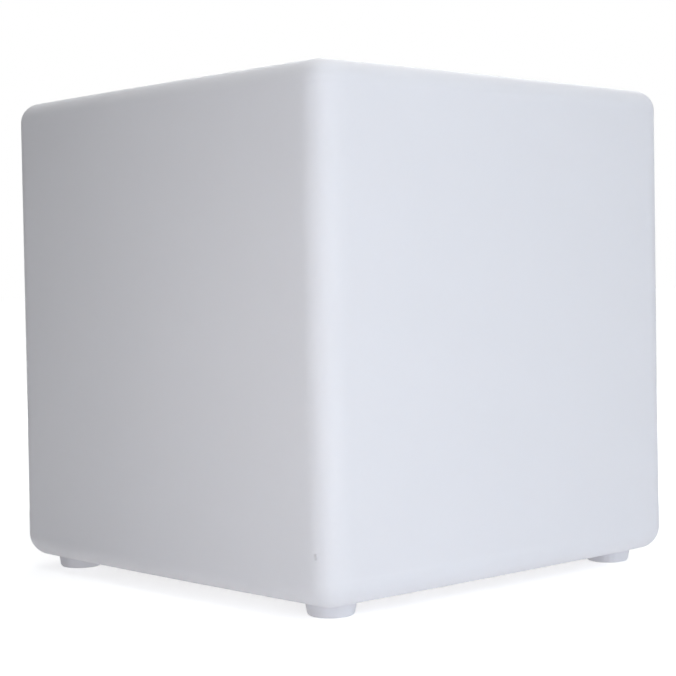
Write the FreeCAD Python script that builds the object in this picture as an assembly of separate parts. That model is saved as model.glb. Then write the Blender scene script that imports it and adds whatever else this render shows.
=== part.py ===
import FreeCAD, Part
import math
import os

# A rechargeable garden light cube: a hollow white moulded shell on four moulded feet, lit from inside by a
# round light unit that screws into a well in its underside. Millimetres, +Z up, origin on the floor under the
# middle of the cube. Front is -Y. The light unit is a cover plate with a cup on it, which holds the battery and
# the control board, closed by the platform that carries the lamp board under a lens dome.

# ---- driving dimensions: shell ----
BODY_WIDTH = 400.0
BODY_HEIGHT = 390.0
WALL = 4.0
UPPER_CORNER_RADIUS = 22.0  # upright edges above the mould's parting line
LOWER_CORNER_RADIUS = 20.0  # and below it, where the base half of the mould is a little tighter
TOP_EDGE_RADIUS = 17.0
BOTTOM_EDGE_RADIUS = 19.5
PARTING_HEIGHT = 36.0  # above the underside
FOOT_HEIGHT = 10.0
FOOT_RADIUS = 19.1
FOOT_TAPER = 1.75
FOOT_TOE_RADIUS = 3.0
FOOT_FLARE_RADIUS = 0.6
FOOT_EDGE_GAP = 0.1  # flat left between a foot's flare and the rounded bottom edge

# ---- driving dimensions: well, cover and its fixings ----
LEDGE_WIDTH = 18.0
WELL_DEPTH = 20.0
WELL_MOUTH_RADIUS = 3.0
WELL_OUTER_RADIUS = 6.0  # round on the well's hidden corner
COVER_GAP = 1.5
COVER_THICKNESS = 3.0
COVER_EDGE_RADIUS = 1.0
GASKET_THICKNESS = 1.5
GASKET_MARGIN = 1.0
COVER_SCREW_COUNT = 6
COVER_SCREW_RADIUS = 2.0
COVER_SCREW_HEAD_RADIUS = 4.0
COVER_SCREW_HEAD_HEIGHT = 2.6
COVER_SCREW_LENGTH = 12.0
HOLE_GAP = 0.4  # radial play of a screw in its through hole
SNUG_GAP = 0.05  # radial play of a piece that is held fast in another
INSERT_RADIUS = 3.0
INSERT_LENGTH = 9.0
INSERT_WALL = 3.5  # shell material round an insert

# ---- driving dimensions: cup, platform and dome ----
OPENING_GAP = 1.5
CUP_WALL = 2.5
CUP_ROOM = 0.6  # between the cup and what reaches furthest in it
CUP_HEIGHT = 42.0
CUP_BOSS_RADIUS = 4.0
PLATFORM_THICKNESS = 2.5
DOME_MARGIN = 3.2  # from the dome seal to the heads of the screws through the flange
DOME_SKIRT = 8.0
DOME_RISE = 24.0
DOME_SHOULDER_RADIUS = 14.0
DOME_WALL = 2.0
DOME_FLANGE_THICKNESS = 2.5
SEAL_WIDTH = 2.0
SEAL_DEPTH = 1.2
SEAL_SIDE_GAP = 0.1
UNIT_SCREW_COUNT = 4
SMALL_SCREW_RADIUS = 1.5
SMALL_SCREW_HEAD_RADIUS = 2.75
SMALL_SCREW_HEAD_HEIGHT = 2.0
SMALL_SCREW_BITE = 8.0

# ---- driving dimensions: lamp board ----
LAMP_BOARD_RADIUS = 45.0
BOARD_THICKNESS = 1.6
LAMP_SIZE = 5.0
LAMP_HEIGHT = 1.6
LAMP_WINDOW_RADIUS = 1.9
LAMP_WINDOW_DEPTH = 0.5
OUTER_LAMP_COUNT = 12
OUTER_LAMP_RADIUS = 31.0
INNER_LAMP_COUNT = 6
INNER_LAMP_RADIUS = 15.0
LAMP_SCREW_COUNT = 3
RECEIVER_WIDTH = 6.0
RECEIVER_DEPTH = 5.2
RECEIVER_HEIGHT = 7.0

# ---- driving dimensions: battery ----
CELL_RADIUS = 9.2
CELL_LENGTH = 65.2
CELL_TIP_RADIUS = 3.5
CELL_TIP_HEIGHT = 0.8
WRAP_THICKNESS = 0.4
BATTERY_EDGE_Y = -7.0  # the end of the battery clamp that is nearer the middle
BATTERY_LIFT = 2.0
GUARD_BOARD_THICKNESS = 1.2
CRADLE_RIB = 2.4
CRADLE_RIB_X = 22.0
CLAMP_THICKNESS = 2.0
CLAMP_WIDTH = 12.0
CLAMP_FLANGE = 8.0
CLAMP_BOSS_RADIUS = 3.4
CLAMP_BOSS_HEIGHT = 7.0
REST_GAP = 0.3  # between pieces that lie beside each other without touching

# ---- driving dimensions: control board ----
CONTROL_LENGTH = 80.0
CONTROL_WIDTH = 36.0
CONTROL_EDGE_Y = 10.0  # the board's edge that is nearer the middle
POST_HEIGHT = 24.0
POST_RADIUS = 3.2
POST_INSET = 4.2
HEADER_HEIGHT = 6.0
HEADER_DEPTH = 5.6
HEADER_WIDTH = 6.2
CONTROLLER_SIZE = (10.0, 6.0)
CHARGER_SIZE = (6.0, 5.0)
CHIP_HEIGHT = 1.6
DRIVER_SIZE = 6.2
DRIVER_HEIGHT = 2.3
DRIVER_COUNT = 3
DRIVER_PITCH = 8.0
CAPACITOR_RADIUS = 4.0
CAPACITOR_HEIGHT = 10.0
CAPACITOR_COUNT = 2
CAPACITOR_PITCH = 10.0
COIL_RADIUS = 4.4
COIL_HEIGHT = 4.5

# ---- driving dimensions: power button ----
BUTTON_X = -22.0
BUTTON_BARREL_RADIUS = 8.0
BUTTON_FLANGE_RADIUS = 10.5
BUTTON_FLANGE_THICKNESS = 1.8
BUTTON_SEAL_THICKNESS = 0.8
BUTTON_BARREL_LENGTH = 16.0  # above the cover's inner face
BUTTON_END_WALL = 3.5
BUTTON_LIP = 1.2
BUTTON_FACE_RADIUS = 5.4
BUTTON_COLLAR_RADIUS = 6.4
BUTTON_COLLAR_HEIGHT = 3.0
BUTTON_RUNNING_GAP = 0.3
BUTTON_TRAVEL = 1.5
BUTTON_DISH_DEPTH = 0.5
SPRING_RADIUS = 4.4
SPRING_WIRE = 0.8
SPRING_TURNS = 4
NUT_HEIGHT = 2.6
NUT_RIM = 2.8
TERMINAL_WIDTH = 2.2
TERMINAL_THICKNESS = 0.6
TERMINAL_LENGTH = 5.0
TERMINAL_PITCH = 6.0

# ---- driving dimensions: charging socket and its cap ----
SOCKET_X = 22.0
SOCKET_RECESS_RADIUS = 7.5
SOCKET_BOSS_WALL = 3.0
SOCKET_BOSS_HEIGHT = 3.5
SOCKET_FLANGE_RADIUS = 6.8
SOCKET_FLANGE_THICKNESS = 1.2
SOCKET_BARREL_RADIUS = 5.5
SOCKET_BARREL_LENGTH = 11.0  # above its boss
SOCKET_BORE_RADIUS = 2.85
SOCKET_BORE_DEPTH = 10.5
CONTACT_PIN_RADIUS = 1.05
CONTACT_PIN_SETBACK = 1.0
CAP_RADIUS = 8.8
CAP_THICKNESS = 1.5
CAP_PLUG_RADIUS = 7.0
CAP_PLUG_TAPER = 0.4
CAP_PLUG_HEIGHT = 1.6
CAP_TAB_LENGTH = 3.0
STRAP_WIDTH = 5.0
STRAP_THICKNESS = 1.2
STRAP_REACH = 11.5  # from the socket's axis to the line where the strap bends
ANCHOR_REACH = 17.0
ANCHOR_RADIUS = 3.6
ANCHOR_STEM_RADIUS = 1.8
ANCHOR_HEAD_HEIGHT = 1.4

# ---- driving dimensions: charge light and leads ----
PIPE_RADIUS = 2.2
PIPE_FLANGE_RADIUS = 3.4
PIPE_FLANGE_THICKNESS = 1.0
CHARGE_LAMP_WIDTH = 3.5
CHARGE_LAMP_HEIGHT = 1.4
LEAD_WIDTH = 3.2
LEAD_THICKNESS = 1.6
LEAD_SWING = 6.0  # beyond the board's edge
LEAD_RISE = 5.4  # above a header
LAMP_SLOT_WIDTH = 8.0
LAMP_SLOT_DEPTH = 5.0
BEND_SHARE = 0.45  # of the shorter run beside a bend

# ---- levels and places that follow from them ----
UNDERSIDE_Z = FOOT_HEIGHT
BODY_TOP_Z = UNDERSIDE_Z + BODY_HEIGHT
PARTING_Z = UNDERSIDE_Z + PARTING_HEIGHT
LEDGE_Z = UNDERSIDE_Z + WELL_DEPTH
LEDGE_TOP_Z = LEDGE_Z + WALL
FLOOR_Z = LEDGE_Z - GASKET_THICKNESS
COVER_Z = FLOOR_Z - COVER_THICKNESS
PACK_RADIUS = CELL_RADIUS + WRAP_THICKNESS
PACK_HALF_WIDTH = CELL_RADIUS + PACK_RADIUS
PACK_HALF_LENGTH = CELL_LENGTH / 2 + CELL_TIP_HEIGHT
CLAMP_REACH = PACK_HALF_WIDTH + REST_GAP + CLAMP_THICKNESS + CLAMP_FLANGE
BATTERY_Y = BATTERY_EDGE_Y - CLAMP_REACH
CONTROL_Y = CONTROL_EDGE_Y + CONTROL_WIDTH / 2
CLAMP_CORNER = math.hypot(CLAMP_WIDTH / 2, CLAMP_REACH - BATTERY_Y)
PACK_CORNER = math.hypot(PACK_HALF_LENGTH, PACK_HALF_WIDTH - BATTERY_Y)
BOARD_CORNER = math.hypot(CONTROL_LENGTH / 2, CONTROL_Y + CONTROL_WIDTH / 2)
BOSS_CLEARED_CORNER = BOARD_CORNER + 2 * CUP_BOSS_RADIUS - CUP_WALL
CUP_INNER_RADIUS = max(CLAMP_CORNER, PACK_CORNER, BOSS_CLEARED_CORNER) + CUP_ROOM
CUP_RADIUS = CUP_INNER_RADIUS + CUP_WALL
OPENING_RADIUS = CUP_RADIUS + OPENING_GAP
WELL_RADIUS = OPENING_RADIUS + LEDGE_WIDTH
COVER_RADIUS = WELL_RADIUS - COVER_GAP
SCREW_CIRCLE = OPENING_RADIUS + LEDGE_WIDTH / 2
RIM_Z = FLOOR_Z + CUP_HEIGHT
PLATFORM_Z = RIM_Z + PLATFORM_THICKNESS
UNIT_SCREW_CIRCLE = CUP_RADIUS - CUP_BOSS_RADIUS - SNUG_GAP
LAMP_BOARD_Z = PLATFORM_Z + BOARD_THICKNESS
DOME_FLANGE_Z = PLATFORM_Z + DOME_FLANGE_THICKNESS
SEAL_RADIUS = UNIT_SCREW_CIRCLE - SMALL_SCREW_HEAD_RADIUS - DOME_MARGIN - SEAL_WIDTH / 2
DOME_RADIUS = SEAL_RADIUS - SEAL_WIDTH / 2
LAMP_SCREW_CIRCLE = LAMP_BOARD_RADIUS - SMALL_SCREW_HEAD_RADIUS - 2 * HOLE_GAP
LAMP_SLOT_Y = (LAMP_BOARD_RADIUS + DOME_RADIUS - DOME_WALL) / 2
FOOT_PLACE = BODY_WIDTH / 2 - BOTTOM_EDGE_RADIUS - FOOT_EDGE_GAP - FOOT_FLARE_RADIUS - FOOT_RADIUS
PACK_Z = FLOOR_Z + BATTERY_LIFT + PACK_RADIUS
GUARD_BOARD_X = PACK_HALF_LENGTH + GUARD_BOARD_THICKNESS
CONTROL_Z = FLOOR_Z + POST_HEIGHT
CONTROL_TOP_Z = CONTROL_Z + BOARD_THICKNESS
TALL_ROW_Y = CONTROL_Y - CONTROL_WIDTH / 4
SWITCH_Y = CONTROL_Y
BUTTON_FLANGE_Z = COVER_Z - BUTTON_SEAL_THICKNESS - BUTTON_FLANGE_THICKNESS
BUTTON_LIP_Z = BUTTON_FLANGE_Z + BUTTON_LIP
BUTTON_COLLAR_Z = BUTTON_LIP_Z + SNUG_GAP
BUTTON_BACK_Z = BUTTON_COLLAR_Z + BUTTON_COLLAR_HEIGHT
BUTTON_FACE_Z = BUTTON_FLANGE_Z - BUTTON_TRAVEL
BUTTON_TOP_Z = FLOOR_Z + BUTTON_BARREL_LENGTH
BUTTON_CHAMBER_Z = BUTTON_TOP_Z - BUTTON_END_WALL
SOCKET_SEAT_Z = FLOOR_Z  # the recess's floor, on which the socket's flange lies
SOCKET_BOSS_Z = FLOOR_Z + SOCKET_BOSS_HEIGHT
SOCKET_MOUTH_Z = SOCKET_SEAT_Z - SOCKET_FLANGE_THICKNESS
SOCKET_BORE_Z = SOCKET_MOUTH_Z + SOCKET_BORE_DEPTH
SOCKET_TOP_Z = SOCKET_BOSS_Z + SOCKET_BARREL_LENGTH
STRAP_AXIS_Y = SWITCH_Y + STRAP_REACH
STRAP_AXIS_Z = COVER_Z - STRAP_THICKNESS / 2
LEAD_TURN_Y = CONTROL_Y + CONTROL_WIDTH / 2 + LEAD_SWING
LEAD_HIGH_Z = CONTROL_TOP_Z + HEADER_HEIGHT + LEAD_RISE


# ---- helpers ----
def cylinder(radius, low, high, x=0.0, y=0.0):
    """An upright cylinder between two levels."""
    return Part.makeCylinder(radius, high - low, FreeCAD.Vector(x, y, low))


def tube(outer, inner, low, high, x=0.0, y=0.0):
    """An upright tube between two levels."""
    return cylinder(outer, low, high, x, y).cut(cylinder(inner, low, high, x, y))


def block(x_size, y_size, low, high, x=0.0, y=0.0):
    """An upright block, centred on x and y, between two levels."""
    return Part.makeBox(x_size, y_size, high - low, FreeCAD.Vector(x - x_size / 2, y - y_size / 2, low))


def around(radius, count, first_degrees=0.0):
    """The (x, y) places of count copies on a circle."""
    angles = [math.radians(first_degrees + 360.0 * i / count) for i in range(count)]
    return [(radius * math.cos(a), radius * math.sin(a)) for a in angles]


def turn(centre, radius, first_degrees, last_degrees):
    """An arc step of an outline: its middle point and its end."""
    steps = [math.radians((first_degrees + last_degrees) / 2), math.radians(last_degrees)]
    return tuple((centre[0] + radius * math.cos(a), centre[1] + radius * math.sin(a)) for a in steps)


def outline_face(place, start, *steps):
    """A closed face from an outline. A step is a point, for a line, or (middle, end), for an arc."""
    edges = []
    here = start
    for step in steps + (start,):
        is_arc = isinstance(step[0], tuple)
        end = step[1] if is_arc else step
        if is_arc:
            edges.append(Part.Arc(place(here), place(step[0]), place(end)).toShape())
        elif math.dist(here, end) > 1e-6:
            edges.append(Part.makeLine(place(here), place(end)))
        here = end
    return Part.Face(Part.Wire(edges))


def revolve(start, *steps, x=0.0, y=0.0):
    """A solid turned about an upright axis from an outline of (radius, level) points."""
    face = outline_face(lambda p: FreeCAD.Vector(x + p[0], y, p[1]), start, *steps)
    return face.revolve(FreeCAD.Vector(x, y, 0), FreeCAD.Vector(0, 0, 1), 360)


def fuse(first, *others):
    """One solid from overlapping or touching ones."""
    return first.multiFuse(list(others)).removeSplitter() if others else first


def cut(shape, *tools):
    """The shape less all the tools."""
    return shape.cut(Part.makeCompound(list(tools)))


def edges_at(shape, level):
    """The edges of a shape that lie at one level."""
    return [e for e in shape.Edges if all(abs(v.Z - level) < 1e-6 for v in e.Vertexes)]


def rounded_prism(width, corner_radius, low, high):
    """A square prism with rounded upright edges."""
    prism = block(width, width, low, high)
    upright = [e for e in prism.Edges if abs(e.BoundBox.ZLength - (high - low)) < 1e-6]
    return prism.makeFillet(corner_radius, upright)


def screw(head_radius, head_height, shank_radius, shank_length, seat, x, y, up):
    """A pan-head screw whose head lies on the level seat; its shank points up, or else down."""
    sense = 1.0 if up else -1.0
    crown = head_height * 0.4
    return revolve(
        (0.0, seat + sense * shank_length),
        (shank_radius, seat + sense * shank_length),
        (shank_radius, seat),
        (head_radius, seat),
        (head_radius, seat - sense * (head_height - crown)),
        (head_radius * 0.6, seat - sense * head_height),
        (0.0, seat - sense * head_height),
        x=x,
        y=y,
    )


def hexagon_nut(bore_radius, rim, low, high, x, y):
    """A hexagon nut: a prism cut from a round of the distance across its corners."""
    corner = (bore_radius + rim) / math.cos(math.pi / 6)
    points = [FreeCAD.Vector(x + px, y + py, low) for px, py in around(corner, 6)]
    prism = Part.Face(Part.makePolygon(points + points[:1])).extrude(FreeCAD.Vector(0, 0, high - low))
    return prism.cut(cylinder(bore_radius, low, high, x, y))


def flat_lead(x, route):
    """A flat twin lead in the upright plane at x: straight runs joined by tangent arcs through (y, z) points."""
    points = [FreeCAD.Vector(x, y, z) for y, z in route]
    edges = []
    here = points[0]
    for before, corner, after in zip(points, points[1:], points[2:]):
        to_before, to_after = before - corner, after - corner
        shorter = min(to_before.Length, to_after.Length)
        back = to_before.normalize() * shorter * BEND_SHARE
        on = to_after.normalize() * shorter * BEND_SHARE
        half_turn = (math.pi - (before - corner).getAngle(after - corner)) / 2
        radius = back.Length / math.tan(half_turn)
        inward = (back + on).normalize()
        middle = corner + inward * (radius / math.cos(half_turn) - radius)
        edges.append(Part.makeLine(here, corner + back))
        edges.append(Part.Arc(corner + back, middle, corner + on).toShape())
        here = corner + on
    edges.append(Part.makeLine(here, points[-1]))
    spine = Part.Wire(edges)
    along = (points[1] - points[0]).normalize()
    side = FreeCAD.Vector(1, 0, 0) * (LEAD_WIDTH / 2)
    across = along.cross(FreeCAD.Vector(1, 0, 0)) * (LEAD_THICKNESS / 2)
    start = points[0]
    corners = [start - side - across, start + side - across, start + side + across, start - side + across]
    section = Part.Wire(Part.makePolygon(corners + corners[:1]))
    return spine.makePipeShell([section], True, True)


def save(node, *solids):
    """Writes one node; several solids stay separate in it."""
    shape = solids[0] if len(solids) == 1 else Part.makeCompound(list(solids))
    assert shape.isValid(), node
    shape.exportStep("parts/" + node + ".step")
    print(node, len(shape.Solids), round(shape.Volume, 1))


# ---- shell ----
def foot_side(level, inset=0.0):
    """The radius of a foot's leaning side at a level, moved in by inset."""
    lean = math.atan2(FOOT_TAPER, FOOT_HEIGHT)
    reach = FOOT_RADIUS * math.cos(lean) - FOOT_HEIGHT * math.sin(lean) - inset
    return (reach + level * math.sin(lean)) / math.cos(lean)


def foot(x, y):
    """A moulded foot: rounded toe, leaning side, and a flare where it grows out of the underside."""
    lean_degrees = math.degrees(math.atan2(FOOT_TAPER, FOOT_HEIGHT))
    toe = (foot_side(FOOT_TOE_RADIUS, FOOT_TOE_RADIUS), FOOT_TOE_RADIUS)
    flare = (foot_side(FOOT_HEIGHT - FOOT_FLARE_RADIUS, -FOOT_FLARE_RADIUS), FOOT_HEIGHT - FOOT_FLARE_RADIUS)
    flare_start = turn(flare, FOOT_FLARE_RADIUS, 180.0, 180.0 - lean_degrees)[1]
    return revolve(
        (0.0, 0.0),
        (toe[0], 0.0),
        turn(toe, FOOT_TOE_RADIUS, -90.0, -lean_degrees),
        flare_start,
        turn(flare, FOOT_FLARE_RADIUS, 180.0 - lean_degrees, 90.0),
        (flare[0], UNDERSIDE_Z + WALL / 2),
        (0.0, UNDERSIDE_Z + WALL / 2),
        x=x,
        y=y,
    )


def foot_pocket(x, y):
    """The hollow inside a foot, one wall in from its side and its sole."""
    top = UNDERSIDE_Z + 1.5 * WALL
    return revolve(
        (0.0, WALL), (foot_side(WALL, WALL), WALL), (foot_side(top, WALL), top), (0.0, top), x=x, y=y
    )


def outer_form():
    """The outside of the shell: two mould halves that meet at the parting line, and the feet."""
    upper = rounded_prism(BODY_WIDTH, UPPER_CORNER_RADIUS, PARTING_Z, BODY_TOP_Z)
    upper = upper.makeFillet(TOP_EDGE_RADIUS, edges_at(upper, BODY_TOP_Z))
    lower = rounded_prism(BODY_WIDTH, LOWER_CORNER_RADIUS, UNDERSIDE_Z, PARTING_Z)
    lower = lower.makeFillet(BOTTOM_EDGE_RADIUS, edges_at(lower, UNDERSIDE_Z))
    feet = [foot(sx * FOOT_PLACE, sy * FOOT_PLACE) for sx in (-1, 1) for sy in (-1, 1)]
    return fuse(upper, lower, *feet)


def cavity():
    """The inside of the shell, with the foot hollows, less the well that stands up into it."""
    corner = UPPER_CORNER_RADIUS - WALL
    low, high = UNDERSIDE_Z + WALL, BODY_TOP_Z - WALL
    room = rounded_prism(BODY_WIDTH - 2 * WALL, corner, low, high)
    room = room.makeFillet(TOP_EDGE_RADIUS - WALL, edges_at(room, high))
    room = room.makeFillet(BOTTOM_EDGE_RADIUS - WALL, edges_at(room, low))
    pockets = [foot_pocket(sx * FOOT_PLACE, sy * FOOT_PLACE) for sx in (-1, 1) for sy in (-1, 1)]
    side = WELL_RADIUS + WALL
    corner_centre = (side - WELL_OUTER_RADIUS, LEDGE_TOP_Z - WELL_OUTER_RADIUS)
    well_block = revolve(
        (0.0, UNDERSIDE_Z),
        (side, UNDERSIDE_Z),
        (side, corner_centre[1]),
        turn(corner_centre, WELL_OUTER_RADIUS, 0.0, 90.0),
        (0.0, LEDGE_TOP_Z),
    )
    bosses = [
        cylinder(INSERT_RADIUS + INSERT_WALL, LEDGE_Z, LEDGE_Z + INSERT_LENGTH + INSERT_WALL, x, y)
        for x, y in around(SCREW_CIRCLE, COVER_SCREW_COUNT)
    ]
    return cut(fuse(room, *pockets), fuse(well_block, *bosses))


def well_hollow():
    """What the well takes out of the underside: a mouth with a rounded edge, and the opening above its ledge."""
    mouth_centre = (WELL_RADIUS + WELL_MOUTH_RADIUS, UNDERSIDE_Z + WELL_MOUTH_RADIUS)
    recess = revolve(
        (0.0, UNDERSIDE_Z - 1.0),
        (WELL_RADIUS + WELL_MOUTH_RADIUS, UNDERSIDE_Z - 1.0),
        (WELL_RADIUS + WELL_MOUTH_RADIUS, UNDERSIDE_Z),
        turn(mouth_centre, WELL_MOUTH_RADIUS, 270.0, 180.0),
        (WELL_RADIUS, LEDGE_Z),
        (0.0, LEDGE_Z),
    )
    return fuse(recess, cylinder(OPENING_RADIUS, UNDERSIDE_Z, LEDGE_TOP_Z))


def cube_shell():
    """The one-piece moulded shell."""
    insert_seats = [
        cylinder(INSERT_RADIUS + SNUG_GAP, LEDGE_Z, LEDGE_Z + INSERT_LENGTH, x, y)
        for x, y in around(SCREW_CIRCLE, COVER_SCREW_COUNT)
    ]
    return cut(outer_form(), cavity(), well_hollow(), *insert_seats)


def threaded_inserts():
    """Brass inserts moulded into the ledge, flush with its underside."""
    return [
        tube(INSERT_RADIUS, COVER_SCREW_RADIUS + SNUG_GAP, LEDGE_Z, LEDGE_Z + INSERT_LENGTH, x, y)
        for x, y in around(SCREW_CIRCLE, COVER_SCREW_COUNT)
    ]


# ---- cover and its fixings ----
def gasket():
    """The flat ring that seals the cover against the ledge."""
    ring = tube(COVER_RADIUS - GASKET_MARGIN, OPENING_RADIUS + GASKET_MARGIN, FLOOR_Z, LEDGE_Z)
    holes = [
        cylinder(COVER_SCREW_RADIUS + HOLE_GAP, FLOOR_Z, LEDGE_Z, x, y)
        for x, y in around(SCREW_CIRCLE, COVER_SCREW_COUNT)
    ]
    return cut(ring, *holes)


def cover_screws():
    """The screws that hold the light unit, driven up into the inserts."""
    return [
        screw(
            COVER_SCREW_HEAD_RADIUS,
            COVER_SCREW_HEAD_HEIGHT,
            COVER_SCREW_RADIUS,
            COVER_SCREW_LENGTH,
            COVER_Z,
            x,
            y,
            up=True,
        )
        for x, y in around(SCREW_CIRCLE, COVER_SCREW_COUNT)
    ]


def cradle():
    """Two saddle ribs that the battery pack lies in, and a stop at each of its ends."""
    saddle_top = PACK_Z - CELL_RADIUS / 3
    ribs = [
        block(CRADLE_RIB, 2 * PACK_HALF_WIDTH, FLOOR_Z, saddle_top, sx * CRADLE_RIB_X, BATTERY_Y)
        for sx in (-1, 1)
    ]
    stop_x = [-(PACK_HALF_LENGTH + REST_GAP + CRADLE_RIB / 2), GUARD_BOARD_X + REST_GAP + CRADLE_RIB / 2]
    stops = [block(CRADLE_RIB, 2 * CELL_RADIUS, FLOOR_Z, saddle_top, x, BATTERY_Y) for x in stop_x]
    pack_room = [
        Part.makeCylinder(
            PACK_RADIUS + SNUG_GAP,
            2 * PACK_HALF_LENGTH,
            FreeCAD.Vector(-PACK_HALF_LENGTH, BATTERY_Y + sy * CELL_RADIUS, PACK_Z),
            FreeCAD.Vector(1, 0, 0),
        )
        for sy in (-1, 1)
    ]
    between = block(
        2 * PACK_HALF_LENGTH, 2 * CELL_RADIUS, PACK_Z - PACK_RADIUS - SNUG_GAP, PACK_Z, 0.0, BATTERY_Y
    )
    return [cut(rib, between, *pack_room) for rib in ribs] + stops


def clamp_places():
    """The (x, y) places of the battery clamp's two screws, each side of the pack."""
    reach = CLAMP_REACH - CLAMP_FLANGE / 2
    return [(0.0, BATTERY_Y - reach), (0.0, BATTERY_Y + reach)]


def post_places():
    """The (x, y) places of the control board's posts."""
    x = CONTROL_LENGTH / 2 - POST_INSET
    y = CONTROL_WIDTH / 2 - POST_INSET
    return [(sx * x, CONTROL_Y + sy * y) for sx in (-1, 1) for sy in (-1, 1)]


def cover_plate():
    """The cover with its cup: bosses, cradle and posts inside, and the holes for the switch, socket and light."""
    edge_centre = (COVER_RADIUS - COVER_EDGE_RADIUS, COVER_Z + COVER_EDGE_RADIUS)
    plate = revolve(
        (0.0, COVER_Z),
        (edge_centre[0], COVER_Z),
        turn(edge_centre, COVER_EDGE_RADIUS, -90.0, 0.0),
        (COVER_RADIUS, FLOOR_Z),
        (0.0, FLOOR_Z),
    )
    cup = tube(CUP_RADIUS, CUP_INNER_RADIUS, FLOOR_Z, RIM_Z)
    unit_bosses = [
        cylinder(CUP_BOSS_RADIUS, FLOOR_Z, RIM_Z, x, y)
        for x, y in around(UNIT_SCREW_CIRCLE, UNIT_SCREW_COUNT, 45.0)
    ]
    clamp_bosses = [
        cylinder(CLAMP_BOSS_RADIUS, FLOOR_Z, FLOOR_Z + CLAMP_BOSS_HEIGHT, x, y) for x, y in clamp_places()
    ]
    posts = [cylinder(POST_RADIUS, FLOOR_Z, CONTROL_Z, x, y) for x, y in post_places()]
    socket_boss = cylinder(
        SOCKET_RECESS_RADIUS + SOCKET_BOSS_WALL, FLOOR_Z, SOCKET_BOSS_Z, SOCKET_X, SWITCH_Y
    )
    solid = fuse(plate, cup, socket_boss, *unit_bosses, *clamp_bosses, *posts, *cradle())
    screw_holes = [
        cylinder(COVER_SCREW_RADIUS + HOLE_GAP, COVER_Z, FLOOR_Z, x, y)
        for x, y in around(SCREW_CIRCLE, COVER_SCREW_COUNT)
    ]
    bite = SMALL_SCREW_RADIUS + SNUG_GAP
    unit_holes = [
        cylinder(bite, RIM_Z - SMALL_SCREW_BITE - HOLE_GAP, RIM_Z, x, y)
        for x, y in around(UNIT_SCREW_CIRCLE, UNIT_SCREW_COUNT, 45.0)
    ]
    clamp_holes = [
        cylinder(bite, FLOOR_Z, FLOOR_Z + CLAMP_BOSS_HEIGHT, x, y) for x, y in clamp_places()
    ]
    post_holes = [
        cylinder(bite, CONTROL_Z - SMALL_SCREW_BITE - HOLE_GAP, CONTROL_Z, x, y) for x, y in post_places()
    ]
    button_hole = cylinder(BUTTON_BARREL_RADIUS + SNUG_GAP, COVER_Z, FLOOR_Z, BUTTON_X, SWITCH_Y)
    socket_hole = cylinder(SOCKET_BARREL_RADIUS + SNUG_GAP, COVER_Z, SOCKET_BOSS_Z, SOCKET_X, SWITCH_Y)
    socket_recess = cylinder(SOCKET_RECESS_RADIUS, COVER_Z, SOCKET_SEAT_Z, SOCKET_X, SWITCH_Y)
    pipe_hole = cylinder(PIPE_RADIUS + SNUG_GAP, COVER_Z, FLOOR_Z, 0.0, SWITCH_Y)
    anchor_hole = cylinder(
        ANCHOR_STEM_RADIUS + SNUG_GAP, COVER_Z, FLOOR_Z, SOCKET_X, SWITCH_Y + ANCHOR_REACH
    )
    return cut(
        solid,
        button_hole,
        socket_hole,
        socket_recess,
        pipe_hole,
        anchor_hole,
        *screw_holes,
        *unit_holes,
        *clamp_holes,
        *post_holes,
    )


# ---- power button ----
def button_body():
    """The threaded barrel of the switch: a flange outside, a lip that keeps the button in, a chamber for the spring."""
    return revolve(
        (BUTTON_FACE_RADIUS + BUTTON_RUNNING_GAP, BUTTON_FLANGE_Z),
        (BUTTON_FLANGE_RADIUS, BUTTON_FLANGE_Z),
        (BUTTON_FLANGE_RADIUS, BUTTON_FLANGE_Z + BUTTON_FLANGE_THICKNESS),
        (BUTTON_BARREL_RADIUS, BUTTON_FLANGE_Z + BUTTON_FLANGE_THICKNESS),
        (BUTTON_BARREL_RADIUS, BUTTON_TOP_Z),
        (0.0, BUTTON_TOP_Z),
        (0.0, BUTTON_CHAMBER_Z),
        (BUTTON_COLLAR_RADIUS + BUTTON_RUNNING_GAP, BUTTON_CHAMBER_Z),
        (BUTTON_COLLAR_RADIUS + BUTTON_RUNNING_GAP, BUTTON_LIP_Z),
        (BUTTON_FACE_RADIUS + BUTTON_RUNNING_GAP, BUTTON_LIP_Z),
        x=BUTTON_X,
        y=SWITCH_Y,
    )


def power_button():
    """The button: a dished face that stands out of the flange, and a collar behind the lip."""
    dish_radius = BUTTON_FACE_RADIUS - 1.0
    return revolve(
        (0.0, BUTTON_FACE_Z + BUTTON_DISH_DEPTH),
        ((dish_radius / 2, BUTTON_FACE_Z + BUTTON_DISH_DEPTH * 0.75), (dish_radius, BUTTON_FACE_Z)),
        (BUTTON_FACE_RADIUS - 0.4, BUTTON_FACE_Z),
        (BUTTON_FACE_RADIUS, BUTTON_FACE_Z + 0.4),
        (BUTTON_FACE_RADIUS, BUTTON_COLLAR_Z),
        (BUTTON_COLLAR_RADIUS, BUTTON_COLLAR_Z),
        (BUTTON_COLLAR_RADIUS, BUTTON_BACK_Z),
        (0.0, BUTTON_BACK_Z),
        x=BUTTON_X,
        y=SWITCH_Y,
    )


def button_spring():
    """The coil that returns the button, of square wire, between its back and the chamber's end."""
    low = BUTTON_BACK_Z + SNUG_GAP
    high = BUTTON_CHAMBER_Z - SNUG_GAP
    pitch = (high - low - SPRING_WIRE) / SPRING_TURNS
    helix = Part.makeHelix(pitch, pitch * SPRING_TURNS, SPRING_RADIUS)
    half = SPRING_WIRE / 2
    corners = [(-half, -half), (half, -half), (half, half), (-half, half)]
    points = [FreeCAD.Vector(SPRING_RADIUS + r, 0, z) for r, z in corners]
    section = Part.Wire(Part.makePolygon(points + points[:1]))
    coil = Part.Wire(helix).makePipeShell([section], True, True)
    coil.translate(FreeCAD.Vector(BUTTON_X, SWITCH_Y, low + half))
    return coil


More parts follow.
